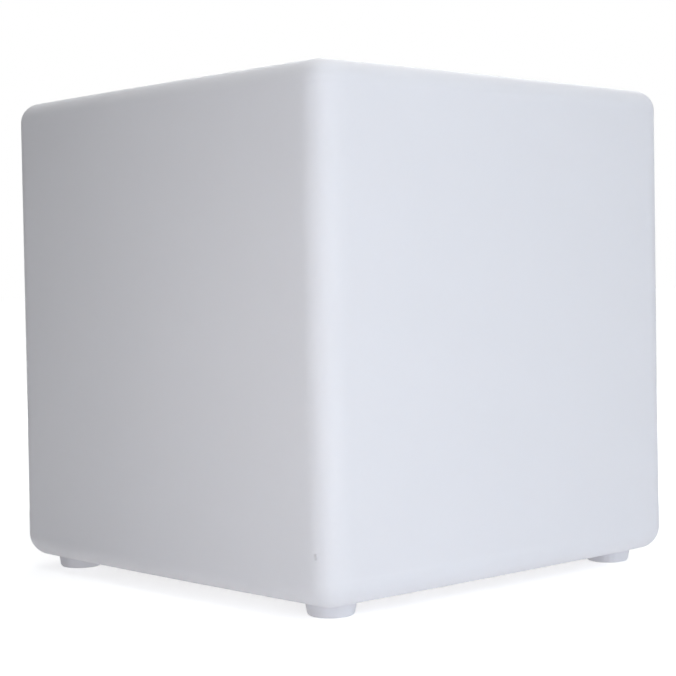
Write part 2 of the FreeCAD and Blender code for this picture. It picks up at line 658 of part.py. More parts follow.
def button_seal():
    """The flat ring under the switch's flange."""
    return tube(
        BUTTON_FLANGE_RADIUS - REST_GAP,
        BUTTON_BARREL_RADIUS + SNUG_GAP,
        COVER_Z - BUTTON_SEAL_THICKNESS,
        COVER_Z,
        BUTTON_X,
        SWITCH_Y,
    )


def terminals(x, base):
    """Two solder tags that stand on the back of the switch or the socket."""
    return [
        block(
            TERMINAL_WIDTH, TERMINAL_THICKNESS, base, base + TERMINAL_LENGTH, x, SWITCH_Y + s * TERMINAL_PITCH / 2
        )
        for s in (-1, 1)
    ]


# ---- charging socket ----
def charging_socket():
    """The socket's barrel, from its flange in the recess to its back, with the plug's bore."""
    barrel = revolve(
        (SOCKET_BORE_RADIUS, SOCKET_MOUTH_Z),
        (SOCKET_FLANGE_RADIUS, SOCKET_MOUTH_Z),
        (SOCKET_FLANGE_RADIUS, SOCKET_SEAT_Z),
        (SOCKET_BARREL_RADIUS, SOCKET_SEAT_Z),
        (SOCKET_BARREL_RADIUS, SOCKET_TOP_Z),
        (0.0, SOCKET_TOP_Z),
        (0.0, SOCKET_BORE_Z),
        (SOCKET_BORE_RADIUS, SOCKET_BORE_Z),
        x=SOCKET_X,
        y=SWITCH_Y,
    )
    return barrel


def contact_pin():
    """The round pin in the middle of the socket's bore."""
    tip_z = SOCKET_MOUTH_Z + CONTACT_PIN_SETBACK
    round_off = CONTACT_PIN_RADIUS / 3
    return revolve(
        (0.0, tip_z - round_off),
        (CONTACT_PIN_RADIUS - round_off, tip_z - round_off),
        (CONTACT_PIN_RADIUS, tip_z),
        (CONTACT_PIN_RADIUS, SOCKET_BORE_Z),
        (0.0, SOCKET_BORE_Z),
        x=SOCKET_X,
        y=SWITCH_Y,
    )


def socket_cap():
    """The soft cap: a disc with a plug that fills the recess, a finger tab, and a strap to the bending line."""
    low = COVER_Z - CAP_THICKNESS
    disc = cylinder(CAP_RADIUS, low, COVER_Z, SOCKET_X, SWITCH_Y)
    plug = Part.makeCone(
        CAP_PLUG_RADIUS,
        CAP_PLUG_RADIUS - CAP_PLUG_TAPER,
        CAP_PLUG_HEIGHT,
        FreeCAD.Vector(SOCKET_X, SWITCH_Y, COVER_Z),
    )
    tab_end = SWITCH_Y - CAP_RADIUS - CAP_TAB_LENGTH
    tab = block(STRAP_WIDTH, CAP_RADIUS + CAP_TAB_LENGTH, low, COVER_Z, SOCKET_X, (SWITCH_Y + tab_end) / 2)
    strap = block(
        STRAP_WIDTH, STRAP_REACH, COVER_Z - STRAP_THICKNESS, COVER_Z, SOCKET_X, SWITCH_Y + STRAP_REACH / 2
    )
    bend = Part.makeCylinder(
        STRAP_THICKNESS / 2,
        STRAP_WIDTH,
        FreeCAD.Vector(SOCKET_X - STRAP_WIDTH / 2, STRAP_AXIS_Y, STRAP_AXIS_Z),
        FreeCAD.Vector(1, 0, 0),
    )
    cap = fuse(disc, plug, tab, strap, bend)
    lowered = FreeCAD.Vector(0, 0, -SNUG_GAP)
    cap.translate(lowered)
    return cap


def cap_anchor():
    """The strap's fixed end: a pad outside the cover, a stem through it and a head inside."""
    y = SWITCH_Y + ANCHOR_REACH
    start = STRAP_AXIS_Y + STRAP_THICKNESS / 2 + REST_GAP
    pad = cylinder(ANCHOR_RADIUS, COVER_Z - STRAP_THICKNESS, COVER_Z, SOCKET_X, y)
    strap = block(STRAP_WIDTH, y - start, COVER_Z - STRAP_THICKNESS, COVER_Z, SOCKET_X, (y + start) / 2)
    stem = cylinder(ANCHOR_STEM_RADIUS, COVER_Z, FLOOR_Z, SOCKET_X, y)
    head = Part.makeCone(
        ANCHOR_RADIUS - REST_GAP, ANCHOR_STEM_RADIUS, ANCHOR_HEAD_HEIGHT, FreeCAD.Vector(SOCKET_X, y, FLOOR_Z)
    )
    return fuse(pad, strap, stem, head)


def charge_light_pipe():
    """The clear pipe that shows the charge light: flush outside, with a flange inside."""
    return fuse(
        cylinder(PIPE_RADIUS, COVER_Z, CONTROL_Z - CHARGE_LAMP_HEIGHT - REST_GAP, 0.0, SWITCH_Y),
        cylinder(PIPE_FLANGE_RADIUS, FLOOR_Z, FLOOR_Z + PIPE_FLANGE_THICKNESS, 0.0, SWITCH_Y),
    )


# ---- battery ----
def battery_cells():
    """Two round cells side by side, each with its raised tip."""
    cells = []
    for sy in (-1, 1):
        start = FreeCAD.Vector(-CELL_LENGTH / 2, BATTERY_Y + sy * CELL_RADIUS, PACK_Z)
        tip = start + FreeCAD.Vector(CELL_LENGTH if sy > 0 else -CELL_TIP_HEIGHT, 0, 0)
        along = FreeCAD.Vector(1, 0, 0)
        body = Part.makeCylinder(CELL_RADIUS - SNUG_GAP, CELL_LENGTH, start, along)
        cells.append(fuse(body, Part.makeCylinder(CELL_TIP_RADIUS, CELL_TIP_HEIGHT, tip, along)))
    return cells


def battery_wrap():
    """The sleeve shrunk round both cells: a flat-sided loop of one thickness, open at its ends."""

    def loop(radius):
        rounds = [
            Part.makeCylinder(
                radius,
                CELL_LENGTH,
                FreeCAD.Vector(-CELL_LENGTH / 2, BATTERY_Y + sy * CELL_RADIUS, PACK_Z),
                FreeCAD.Vector(1, 0, 0),
            )
            for sy in (-1, 1)
        ]
        middle = block(CELL_LENGTH, 2 * CELL_RADIUS, PACK_Z - radius, PACK_Z + radius, 0.0, BATTERY_Y)
        return fuse(middle, *rounds)

    return loop(PACK_RADIUS).cut(loop(CELL_RADIUS))


def guard_board():
    """The narrow protection board on the end of the pack."""
    low_x = PACK_HALF_LENGTH
    width = 2 * PACK_HALF_WIDTH - 2 * CELL_TIP_RADIUS
    return Part.makeBox(
        GUARD_BOARD_THICKNESS,
        width,
        CELL_RADIUS,
        FreeCAD.Vector(low_x, BATTERY_Y - width / 2, PACK_Z - CELL_RADIUS / 2),
    )


def battery_clamp():
    """A strap over the pack, with a leg and a screwed flange on each side."""
    inner = PACK_HALF_WIDTH + REST_GAP
    outer = inner + CLAMP_THICKNESS
    top = PACK_Z + PACK_RADIUS
    foot_z = FLOOR_Z + CLAMP_BOSS_HEIGHT
    round_radius = CLAMP_THICKNESS
    outline = [
        (-outer - CLAMP_FLANGE, foot_z),
        (-inner, foot_z),
        (-inner, top),
        (inner, top),
        (inner, foot_z),
        (outer + CLAMP_FLANGE, foot_z),
        (outer + CLAMP_FLANGE, foot_z + CLAMP_THICKNESS),
        (outer, foot_z + CLAMP_THICKNESS),
        (outer, top + CLAMP_THICKNESS - round_radius),
        turn((outer - round_radius, top + CLAMP_THICKNESS - round_radius), round_radius, 0.0, 90.0),
        (-outer + round_radius, top + CLAMP_THICKNESS),
        turn((-outer + round_radius, top + CLAMP_THICKNESS - round_radius), round_radius, 90.0, 180.0),
        (-outer, foot_z + CLAMP_THICKNESS),
        (-outer - CLAMP_FLANGE, foot_z + CLAMP_THICKNESS),
    ]
    face = outline_face(lambda p: FreeCAD.Vector(-CLAMP_WIDTH / 2, BATTERY_Y + p[0], p[1]), *outline)
    strap = face.extrude(FreeCAD.Vector(CLAMP_WIDTH, 0, 0))
    holes = [
        cylinder(SMALL_SCREW_RADIUS + HOLE_GAP, foot_z, foot_z + CLAMP_THICKNESS, x, y)
        for x, y in clamp_places()
    ]
    return cut(strap, *holes)


# ---- boards ----
def small_screw(seat, grip, bite, x, y):
    """A small pan-head screw driven down through grip and into its boss by bite."""
    return screw(
        SMALL_SCREW_HEAD_RADIUS, SMALL_SCREW_HEAD_HEIGHT, SMALL_SCREW_RADIUS, grip + bite, seat, x, y, up=False
    )


def control_board():
    """The rectangular board on its four posts."""
    board = block(CONTROL_LENGTH, CONTROL_WIDTH, CONTROL_Z, CONTROL_TOP_Z, 0.0, CONTROL_Y)
    holes = [
        cylinder(SMALL_SCREW_RADIUS + HOLE_GAP, CONTROL_Z, CONTROL_TOP_Z, x, y) for x, y in post_places()
    ]
    return cut(board, *holes)


def header_places():
    """The (x, y) places of the headers on the control board: switch, lamp, socket and battery."""
    y = CONTROL_Y + CONTROL_WIDTH / 2 - HEADER_DEPTH / 2 - REST_GAP
    return [(BUTTON_X, y), (0.0, y), (SOCKET_X, y), (GUARD_BOARD_X + LEAD_WIDTH / 2, CONTROL_Y - HEADER_DEPTH)]


def headers():
    """The plug headers, each a little wider than the lead that goes into it from above."""
    top = CONTROL_TOP_Z + HEADER_HEIGHT
    return [block(HEADER_WIDTH, HEADER_DEPTH, CONTROL_TOP_Z, top, x, y) for x, y in header_places()]


def board_chips():
    """The packages on the control board: the controller, the charger and a row of lamp drivers."""
    top = CONTROL_TOP_Z + CHIP_HEIGHT
    controller = block(*CONTROLLER_SIZE, CONTROL_TOP_Z, top, -CONTROL_LENGTH / 6, CONTROL_Y)
    charger = block(*CHARGER_SIZE, CONTROL_TOP_Z, top, CONTROL_LENGTH / 6, CONTROL_Y)
    drivers = [
        block(
            DRIVER_SIZE, DRIVER_SIZE, CONTROL_TOP_Z, CONTROL_TOP_Z + DRIVER_HEIGHT, -x - DRIVER_SIZE, TALL_ROW_Y
        )
        for x in [DRIVER_PITCH * i for i in range(DRIVER_COUNT)]
    ]
    return [controller, charger] + drivers


def board_capacitors():
    """The upright round capacitors."""
    top = CONTROL_TOP_Z + CAPACITOR_HEIGHT
    places = [CAPACITOR_PITCH * (i + 0.5) for i in range(CAPACITOR_COUNT)]
    return [cylinder(CAPACITOR_RADIUS, CONTROL_TOP_Z, top, x, TALL_ROW_Y) for x in places]


def charge_lamp():
    """The small lamp under the board that shines down the pipe."""
    return block(CHARGE_LAMP_WIDTH, CHARGE_LAMP_WIDTH, CONTROL_Z - CHARGE_LAMP_HEIGHT, CONTROL_Z, 0.0, SWITCH_Y)


def board_coil():
    """The charger's choke: a drum with a waist."""
    low, high = CONTROL_TOP_Z, CONTROL_TOP_Z + COIL_HEIGHT
    rim = COIL_HEIGHT / 4
    waist = COIL_RADIUS * 0.75
    return revolve(
        (0.0, low),
        (COIL_RADIUS, low),
        (COIL_RADIUS, low + rim),
        (waist, low + rim),
        (waist, high - rim),
        (COIL_RADIUS, high - rim),
        (COIL_RADIUS, high),
        (0.0, high),
        x=-CONTROL_LENGTH / 3,
        y=CONTROL_Y,
    )


def lamp_platform():
    """The disc that closes the cup and carries the lamp board, with the seal's groove and the lead's slot."""
    disc = cylinder(CUP_RADIUS, RIM_Z, PLATFORM_Z)
    groove = tube(
        SEAL_RADIUS + SEAL_WIDTH / 2 + SEAL_SIDE_GAP,
        SEAL_RADIUS - SEAL_WIDTH / 2 - SEAL_SIDE_GAP,
        PLATFORM_Z - SEAL_DEPTH,
        PLATFORM_Z,
    )
    slot = block(LAMP_SLOT_WIDTH, LAMP_SLOT_DEPTH, RIM_Z, PLATFORM_Z, 0.0, LAMP_SLOT_Y)
    unit_holes = [
        cylinder(SMALL_SCREW_RADIUS + HOLE_GAP, RIM_Z, PLATFORM_Z, x, y)
        for x, y in around(UNIT_SCREW_CIRCLE, UNIT_SCREW_COUNT, 45.0)
    ]
    lamp_holes = [
        cylinder(SMALL_SCREW_RADIUS + SNUG_GAP, RIM_Z, PLATFORM_Z, x, y)
        for x, y in around(LAMP_SCREW_CIRCLE, LAMP_SCREW_COUNT, 30.0)
    ]
    return cut(disc, groove, slot, *unit_holes, *lamp_holes)


def lamp_board():
    """The round aluminium-cored board."""
    disc = cylinder(LAMP_BOARD_RADIUS, PLATFORM_Z, LAMP_BOARD_Z)
    holes = [
        cylinder(SMALL_SCREW_RADIUS + HOLE_GAP, PLATFORM_Z, LAMP_BOARD_Z, x, y)
        for x, y in around(LAMP_SCREW_CIRCLE, LAMP_SCREW_COUNT, 30.0)
    ]
    return cut(disc, *holes)


def lamps():
    """The lamp packages in two rings: square bodies, each with a round window."""
    places = around(OUTER_LAMP_RADIUS, OUTER_LAMP_COUNT, 15.0) + around(INNER_LAMP_RADIUS, INNER_LAMP_COUNT)
    top = LAMP_BOARD_Z + LAMP_HEIGHT
    made = []
    for x, y in places:
        body = block(LAMP_SIZE, LAMP_SIZE, LAMP_BOARD_Z, top)
        body = body.cut(cylinder(LAMP_WINDOW_RADIUS, top - LAMP_WINDOW_DEPTH, top))
        body.rotate(FreeCAD.Vector(0, 0, 0), FreeCAD.Vector(0, 0, 1), math.degrees(math.atan2(y, x)))
        body.translate(FreeCAD.Vector(x, y, 0))
        made.append(body)
    return made


def lamp_header():
    """The header at the lamp board's edge."""
    y = LAMP_BOARD_RADIUS - HEADER_DEPTH - REST_GAP
    return block(HEADER_WIDTH, HEADER_DEPTH, LAMP_BOARD_Z, LAMP_BOARD_Z + HEADER_HEIGHT / 2, 0.0, y)


def signal_receiver():
    """The receiver for the remote control: an upright package with a round bulge on its front."""
    body = block(RECEIVER_WIDTH, RECEIVER_DEPTH / 2, LAMP_BOARD_Z, LAMP_BOARD_Z + RECEIVER_HEIGHT)
    bulge = cylinder(
        RECEIVER_WIDTH / 2 - SNUG_GAP,
        LAMP_BOARD_Z,
        LAMP_BOARD_Z + RECEIVER_HEIGHT * 0.75,
        0.0,
        -RECEIVER_DEPTH / 4,
    )
    return fuse(body, bulge)


def lens_dome():
    """The frosted dome over the lamps: a flange, a short skirt, a rounded shoulder and a shallow crown."""
    skirt_z = PLATFORM_Z + DOME_SKIRT
    shoulder = (DOME_RADIUS - DOME_SHOULDER_RADIUS, skirt_z)
    lift = DOME_RISE - DOME_SHOULDER_RADIUS
    drop = (shoulder[0] ** 2 - lift**2) / (2 * lift)
    crown = (0.0, skirt_z - drop)
    crown_radius = DOME_RISE + drop
    meeting = math.degrees(math.atan2(drop, shoulder[0]))
    dome = revolve(
        (DOME_RADIUS - DOME_WALL, PLATFORM_Z),
        (CUP_RADIUS, PLATFORM_Z),
        (CUP_RADIUS, DOME_FLANGE_Z),
        (DOME_RADIUS, DOME_FLANGE_Z),
        (DOME_RADIUS, skirt_z),
        turn(shoulder, DOME_SHOULDER_RADIUS, 0.0, meeting),
        turn(crown, crown_radius, meeting, 90.0),
        (0.0, skirt_z + DOME_RISE - DOME_WALL),
        turn(crown, crown_radius - DOME_WALL, 90.0, meeting),
        turn(shoulder, DOME_SHOULDER_RADIUS - DOME_WALL, meeting, 0.0),
    )
    holes = [
        cylinder(SMALL_SCREW_RADIUS + HOLE_GAP, PLATFORM_Z, DOME_FLANGE_Z, x, y)
        for x, y in around(UNIT_SCREW_CIRCLE, UNIT_SCREW_COUNT, 45.0)
    ]
    return cut(dome, *holes)


def dome_seal():
    """The square ring in the platform's groove."""
    return tube(
        SEAL_RADIUS + SEAL_WIDTH / 2, SEAL_RADIUS - SEAL_WIDTH / 2, PLATFORM_Z - SEAL_DEPTH, PLATFORM_Z
    )


# ---- leads ----
def side_lead(x, base):
    """A lead from the tags of the switch or the socket, round the board's edge and down into its header."""
    header_y = header_places()[0][1]
    start_z = base + TERMINAL_LENGTH / 2
    start_y = SWITCH_Y + TERMINAL_PITCH / 2 + TERMINAL_THICKNESS / 2
    return flat_lead(
        x,
        [
            (start_y, start_z),
            (LEAD_TURN_Y, start_z),
            (LEAD_TURN_Y, LEAD_HIGH_Z),
            (header_y, LEAD_HIGH_Z),
            (header_y, CONTROL_TOP_Z + HEADER_HEIGHT),
        ],
    )


def battery_lead():
    """The lead from the pack's protection board, up and across into the battery header."""
    x, header_y = header_places()[3]
    start_y = BATTERY_Y + PACK_HALF_WIDTH / 2
    return flat_lead(
        x,
        [
            (start_y, PACK_Z),
            (start_y, LEAD_HIGH_Z),
            (header_y, LEAD_HIGH_Z),
            (header_y, CONTROL_TOP_Z + HEADER_HEIGHT),
        ],
    )


def lamp_lead():
    """The lead from the lamp header of the control board, up through the platform's slot to the lamp board."""
    header_y = header_places()[1][1]
    lamp_header_y = LAMP_BOARD_RADIUS - HEADER_DEPTH - REST_GAP
    low_z = (CONTROL_TOP_Z + HEADER_HEIGHT + RIM_Z) / 2
    high_z = LAMP_BOARD_Z + HEADER_HEIGHT / 2 + LEAD_THICKNESS * 1.5
    return flat_lead(
        0.0,
        [
            (header_y, CONTROL_TOP_Z + HEADER_HEIGHT),
            (header_y, low_z),
            (LAMP_SLOT_Y, low_z),
            (LAMP_SLOT_Y, high_z),
            (lamp_header_y, high_z),
            (lamp_header_y, LAMP_BOARD_Z + HEADER_HEIGHT / 2),
        ],
    )


def main():
    """Builds every node and writes it."""
    os.makedirs("parts", exist_ok=True)
    save("cube_shell", cube_shell())
    save("threaded_inserts", *threaded_inserts())
    save("cover_gasket", gasket())
    save("cover_plate", cover_plate())
    save("cover_screws", *cover_screws())

    save("button_body", button_body())
    save("power_button", power_button())
    save("button_spring", button_spring())
    save("button_seal", button_seal())
    button_nut = hexagon_nut(
        BUTTON_BARREL_RADIUS + SNUG_GAP, NUT_RIM, FLOOR_Z, FLOOR_Z + NUT_HEIGHT, BUTTON_X, SWITCH_Y
    )
    save("button_nut", button_nut)
    save("button_tags", *terminals(BUTTON_X, BUTTON_TOP_Z))

    save("charging_socket", charging_socket())
    save("socket_pin", contact_pin())
    socket_nut = hexagon_nut(
        SOCKET_BARREL_RADIUS + SNUG_GAP, NUT_RIM, SOCKET_BOSS_Z, SOCKET_BOSS_Z + NUT_HEIGHT, SOCKET_X, SWITCH_Y
    )
    save("socket_nut", socket_nut)
    save("socket_tags", *terminals(SOCKET_X, SOCKET_TOP_Z))
    save("socket_cap", socket_cap())
    save("cap_anchor", cap_anchor())
    save("charge_light_pipe", charge_light_pipe())

    save("battery_cells", *battery_cells())
    save("battery_wrap", battery_wrap())
    save("battery_guard_board", guard_board())
    save("battery_clamp", battery_clamp())
    clamp_seat = FLOOR_Z + CLAMP_BOSS_HEIGHT + CLAMP_THICKNESS
    clamp_bite = CLAMP_BOSS_HEIGHT - HOLE_GAP
    save("clamp_screws", *[small_screw(clamp_seat, CLAMP_THICKNESS, clamp_bite, x, y) for x, y in clamp_places()])

    save("control_board", control_board())
    save("board_headers", *headers())
    save("board_chips", *board_chips())
    save("board_capacitors", *board_capacitors())
    save("board_choke", board_coil())
    save("charge_lamp", charge_lamp())
    board_screws = [
        small_screw(CONTROL_TOP_Z, BOARD_THICKNESS, SMALL_SCREW_BITE, x, y) for x, y in post_places()
    ]
    save("board_screws", *board_screws)

    save("lamp_platform", lamp_platform())
    save("lamp_board", lamp_board())
    save("lamps", *lamps())
    save("lamp_header", lamp_header())
    save("signal_receiver", signal_receiver())
    lamp_screws = [
        small_screw(LAMP_BOARD_Z, BOARD_THICKNESS, PLATFORM_THICKNESS, x, y)
        for x, y in around(LAMP_SCREW_CIRCLE, LAMP_SCREW_COUNT, 30.0)
    ]
    save("lamp_board_screws", *lamp_screws)
    save("dome_seal", dome_seal())
    save("lens_dome", lens_dome())
    unit_grip = DOME_FLANGE_THICKNESS + PLATFORM_THICKNESS
    unit_screws = [
        small_screw(DOME_FLANGE_Z, unit_grip, SMALL_SCREW_BITE, x, y)
        for x, y in around(UNIT_SCREW_CIRCLE, UNIT_SCREW_COUNT, 45.0)
    ]
    save("unit_screws", *unit_screws)

    save("button_lead", side_lead(BUTTON_X, BUTTON_TOP_Z))
    save("socket_lead", side_lead(SOCKET_X, SOCKET_TOP_Z))
    save("battery_lead", battery_lead())
    save("lamp_lead", lamp_lead())


main()
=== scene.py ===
"""Looks of the garden light cube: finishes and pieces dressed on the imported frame. Metres, +Z up."""

import math

import bpy
import numpy as np
from bpy.props import FloatProperty, PointerProperty, StringProperty
from mathutils import Matrix, Vector


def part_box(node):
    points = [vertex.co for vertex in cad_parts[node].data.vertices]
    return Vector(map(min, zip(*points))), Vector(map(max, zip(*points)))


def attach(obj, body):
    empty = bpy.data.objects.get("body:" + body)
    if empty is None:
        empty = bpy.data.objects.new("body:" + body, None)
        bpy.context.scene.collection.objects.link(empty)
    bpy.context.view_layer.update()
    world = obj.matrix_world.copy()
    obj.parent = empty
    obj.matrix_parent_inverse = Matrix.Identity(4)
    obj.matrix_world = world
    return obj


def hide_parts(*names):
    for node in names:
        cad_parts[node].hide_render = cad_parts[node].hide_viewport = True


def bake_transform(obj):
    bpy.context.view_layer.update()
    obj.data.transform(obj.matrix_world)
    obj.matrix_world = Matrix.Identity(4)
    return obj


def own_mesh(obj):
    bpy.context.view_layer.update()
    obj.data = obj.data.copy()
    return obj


bl_info = {
    "name": "Light Cube Dresser",
    "version": (1, 0, 0),
    "blender": (4, 5, 0),
    "location": "3D View > Sidebar > Light Cube",
    "description": "Builds the moulded pieces, fixings, leads and finishes of a garden light cube",
    "category": "Object",
}

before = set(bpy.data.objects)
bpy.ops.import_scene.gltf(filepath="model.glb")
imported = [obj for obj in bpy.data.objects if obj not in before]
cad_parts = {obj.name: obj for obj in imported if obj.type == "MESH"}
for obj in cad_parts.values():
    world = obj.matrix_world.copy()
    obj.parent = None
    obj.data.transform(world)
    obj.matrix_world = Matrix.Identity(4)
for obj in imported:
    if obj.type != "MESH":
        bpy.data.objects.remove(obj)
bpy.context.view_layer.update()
MM = 0.001
SIGNS = np.array([[1, 1], [-1, 1], [-1, -1], [1, -1]], float)  # of x and y at the four corners, anticlockwise
COLOURS = {"data_type": "RGBA"}


# ---- places and curves ----
def box_mm(name):
    """A node's lowest and highest corners, in millimetres."""
    return tuple(np.array(corner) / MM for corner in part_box(name))


def centre_mm(name):
    """The middle of a node's box, in millimetres."""
    return sum(box_mm(name)) / 2


def smooth(value):
    """0 below 0, 1 above 1, and a smooth rise between: 3 v^2 - 2 v^3."""
    value = np.clip(value, 0.0, 1.0)
    return value * value * (3 - 2 * value)


def eased(start, end, steps):
    """Values from start to end, both in, that crowd together at both ends."""
    return start + (end - start) * (0.5 - 0.5 * np.cos(np.pi * np.linspace(0, 1, steps + 1)))


def quarter_turn(steps):
    """Sine and cosine of angles from 0 to 90 degrees, both in."""
    angle = np.radians(np.linspace(0, 90, steps + 1))
    return np.sin(angle), np.cos(angle)


def round_axis(columns):
    """Angles of columns spread evenly round an axis, in radians."""
    return 2 * np.pi * np.arange(columns) / columns


def direction(angle):
    """(cos, sin) of each angle, along a last axis of its own."""
    return np.stack([np.cos(angle), np.sin(angle)], axis=-1)


def on_circle(radius, count, first_degrees=0.0):
    """(x, y, degrees) of count places spread evenly round a circle."""
    degrees = first_degrees + 360.0 * np.arange(count) / count
    return [(*place, turn) for place, turn in zip(radius * direction(np.radians(degrees)), degrees)]


# ---- surfaces: points as rings by columns by 3, forms as (vertices, faces) ----
def ring_quads(rings, columns):
    """Quads from each ring of a strip to the one below it, and last from the lowest ring to the top one."""
    index = np.arange(rings * columns).reshape(rings, columns)
    below = np.roll(index, -1, axis=0)
    corners = [below, np.roll(below, -1, axis=1), np.roll(index, -1, axis=1), index]
    return np.stack(corners, axis=-1).reshape(-1, 4)


def closed_strip(points):
    """A strip of rings whose first and last rings are closed by a pole each, at the ring's mean.

    With the rings given from the top down and the columns anticlockwise from above, the faces point outwards.
    """
    rings, columns = points.shape[:2]
    column = np.arange(columns)
    after = np.roll(column, -1)
    last, pole = (rings - 1) * columns, rings * columns
    top = np.stack([np.full(columns, pole), after, column], axis=-1)
    bottom = np.stack([np.full(columns, pole + 1), last + column, last + after], axis=-1)
    quads = ring_quads(rings, columns)[:-columns]
    poles = [points[0].mean(axis=0), points[-1].mean(axis=0)]
    return np.vstack([points.reshape(-1, 3), *poles]), [*quads.tolist(), *top.tolist(), *bottom.tolist()]


def looped(points):
    """A strip of rings whose last ring joins its first, such as a tube's wall."""
    return points.reshape(-1, 3), np.roll(ring_quads(*points.shape[:2]), 1, axis=1).tolist()


def joined(parts):
    """Several forms as one."""
    vertices, faces, first = [], [], 0
    for points, polygons in parts:
        vertices.append(points)
        faces.extend([[i + first for i in polygon] for polygon in polygons])
        first += len(points)
    return np.vstack(vertices), faces


def spread(form, places, level=0.0, side=1):
    """A form at each place, (x, y, degrees), turned about the upright axis; side -1 turns it over first."""
    parts = []
    for x, y, degrees in places:
        c, s = math.cos(math.radians(degrees)), math.sin(math.radians(degrees))
        turn = np.array([[c, s, 0], [-s, c, 0], [0, 0, 1]])
        parts.append((form[0] * (1, side, side) @ turn + (x, y, level), form[1]))
    return joined(parts)


def turned(radii, levels, x=0.0, y=0.0, columns=64):
    """Rings of a profile turned about an upright axis: (x + radius * cos a, y + radius * sin a, level).

    radii and levels are one value for each ring, or rings by columns where they change round the axis too.
    """
    angle = round_axis(columns)
    radii, levels = (np.asarray(v, float).reshape(len(v), -1) for v in (radii, levels))
    return np.stack(np.broadcast_arrays(x + radii * np.cos(angle), y + radii * np.sin(angle), levels), axis=2)


def carried(path, across, section):
    """Rings of a section carried along a path: path + sideways * across + raised * (across x tangent)."""
    tangent = np.gradient(path, axis=0)
    tangent /= np.linalg.norm(tangent, axis=1, keepdims=True)
    across = np.broadcast_to(np.asarray(across, float), path.shape)
    raised = np.cross(across, tangent)
    raised /= np.linalg.norm(raised, axis=1, keepdims=True)
    return path[:, None] + section[None, :, :1] * across[:, None] + section[None, :, 1:] * raised[:, None]


def lifted(outlines, levels):
    """Rings of flat outlines, rings by columns by 2, each at its own level."""
    levels = np.broadcast_to(np.reshape(levels, (-1, 1, 1)), (*outlines.shape[:2], 1))
    return np.concatenate([outlines, levels], axis=2)


def rounded_rectangle(size_x, size_y, corner, steps=4):
    """An outline's points, anticlockwise: corner centres plus a corner radius along each angle."""
    angle = np.radians(90 * np.arange(4)[:, None] + 90 * np.arange(steps + 1) / steps)
    middle = SIGNS[:, None] * (np.array([size_x, size_y]) / 2 - corner)
    return (middle + corner * direction(angle)).reshape(-1, 2)


def rounded_block(size_x, size_y, low, high, corner, edge, x=0.0, y=0.0):
    """A block with rounded upright edges, and a quarter circle of radius edge round its top and bottom."""
    s, c = quarter_turn(3)
    insets = edge * np.concatenate([1 - s, 1 - c])
    levels = np.concatenate([high - edge + edge * c, low + edge - edge * s])
    rings = [rounded_rectangle(size_x - 2 * i, size_y - 2 * i, max(corner - i, 0.01)) for i in insets]
    return closed_strip(lifted(np.stack(rings) + (x, y), levels))


def added(name, data):
    """A new object in the scene."""
    made = bpy.data.objects.new(name, data)
    bpy.context.scene.collection.objects.link(made)
    return made


def piece(name, form, finish, replaces=(), sharp_degrees=35.0, body="cube"):
    """A mesh piece from millimetres, on its body if it has one and in place of its nodes."""
    mesh = bpy.data.meshes.new(name)
    mesh.from_pydata((form[0] * MM).tolist(), [], form[1])
    mesh.validate()
    mesh.shade_smooth()
    mesh.set_sharp_from_angle(angle=math.radians(sharp_degrees))
    mesh.materials.append(finish)
    made = added(name, mesh)
    if body:
        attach(made, body)
    if replaces:
        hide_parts(*replaces)
    return made


# ---- finishes ----
def linear(code):
    """An sRGB hex colour such as "#ECEEF1" as linear red, green, blue and alpha."""
    values = np.array([int(code[i : i + 2], 16) / 255 for i in (1, 3, 5)])
    values = np.where(values <= 0.04045, values / 12.92, ((values + 0.055) / 1.055) ** 2.4)
    return (*[float(v) for v in values], 1.0)


def shades(code, share):
    """A hex colour made darker by a share, and the colour itself, both linear."""
    tone = linear(code)
    return (*[c * share for c in tone[:3]], 1.0), tone


def node(tree, kind, settings=None, **inputs):
    """Adds a shader node, sets its properties, and sets or links its inputs.

    An input's name has _ for a space, or is i and its number. Its value is a plain value, an output, or a
    node, whose first output in use is then taken.
    """
    made = tree.nodes.new("ShaderNode" + kind)
    for key, value in (settings or {}).items():
        setattr(made, key, value)
    for key, value in inputs.items():
        numbered = key[0] == "i" and key[1:].isdigit()
        socket = made.inputs[int(key[1:]) if numbered else key.replace("_", " ")]
        if isinstance(value, bpy.types.Node):
            value = next(output for output in value.outputs if output.enabled)
        if isinstance(value, bpy.types.NodeSocket):
            tree.links.new(value, socket)
        else:
            socket.default_value = value
    return made


def surface(name):
    """A new material, its empty tree and its Object coordinates in metres."""
    material = bpy.data.materials.new(name)
    material.use_nodes = True
    tree = material.node_tree
    tree.nodes.clear()
    return material, tree, node(tree, "TexCoord").outputs["Object"]


def shown(material, **inputs):
    """Ends a material with its shader, whose inputs are given, and returns it."""
    tree = material.node_tree
    node(tree, "OutputMaterial", Surface=node(tree, "BsdfPrincipled", **inputs))
    return material


def drifting(tree, place, ends, size_mm, detail=2.0):
    """A value, or a colour, that drifts between two ends over patches of one size."""
    patches = node(tree, "TexNoise", Vector=place, Scale=1000 / size_mm, Detail=detail, Roughness=0.5)
    if isinstance(ends[0], tuple):
        return node(tree, "Mix", COLOURS, i0=patches, i6=ends[0], i7=ends[1])
    return node(tree, "MapRange", Value=patches, From_Min=0.3, From_Max=0.7, To_Min=ends[0], To_Max=ends[1])


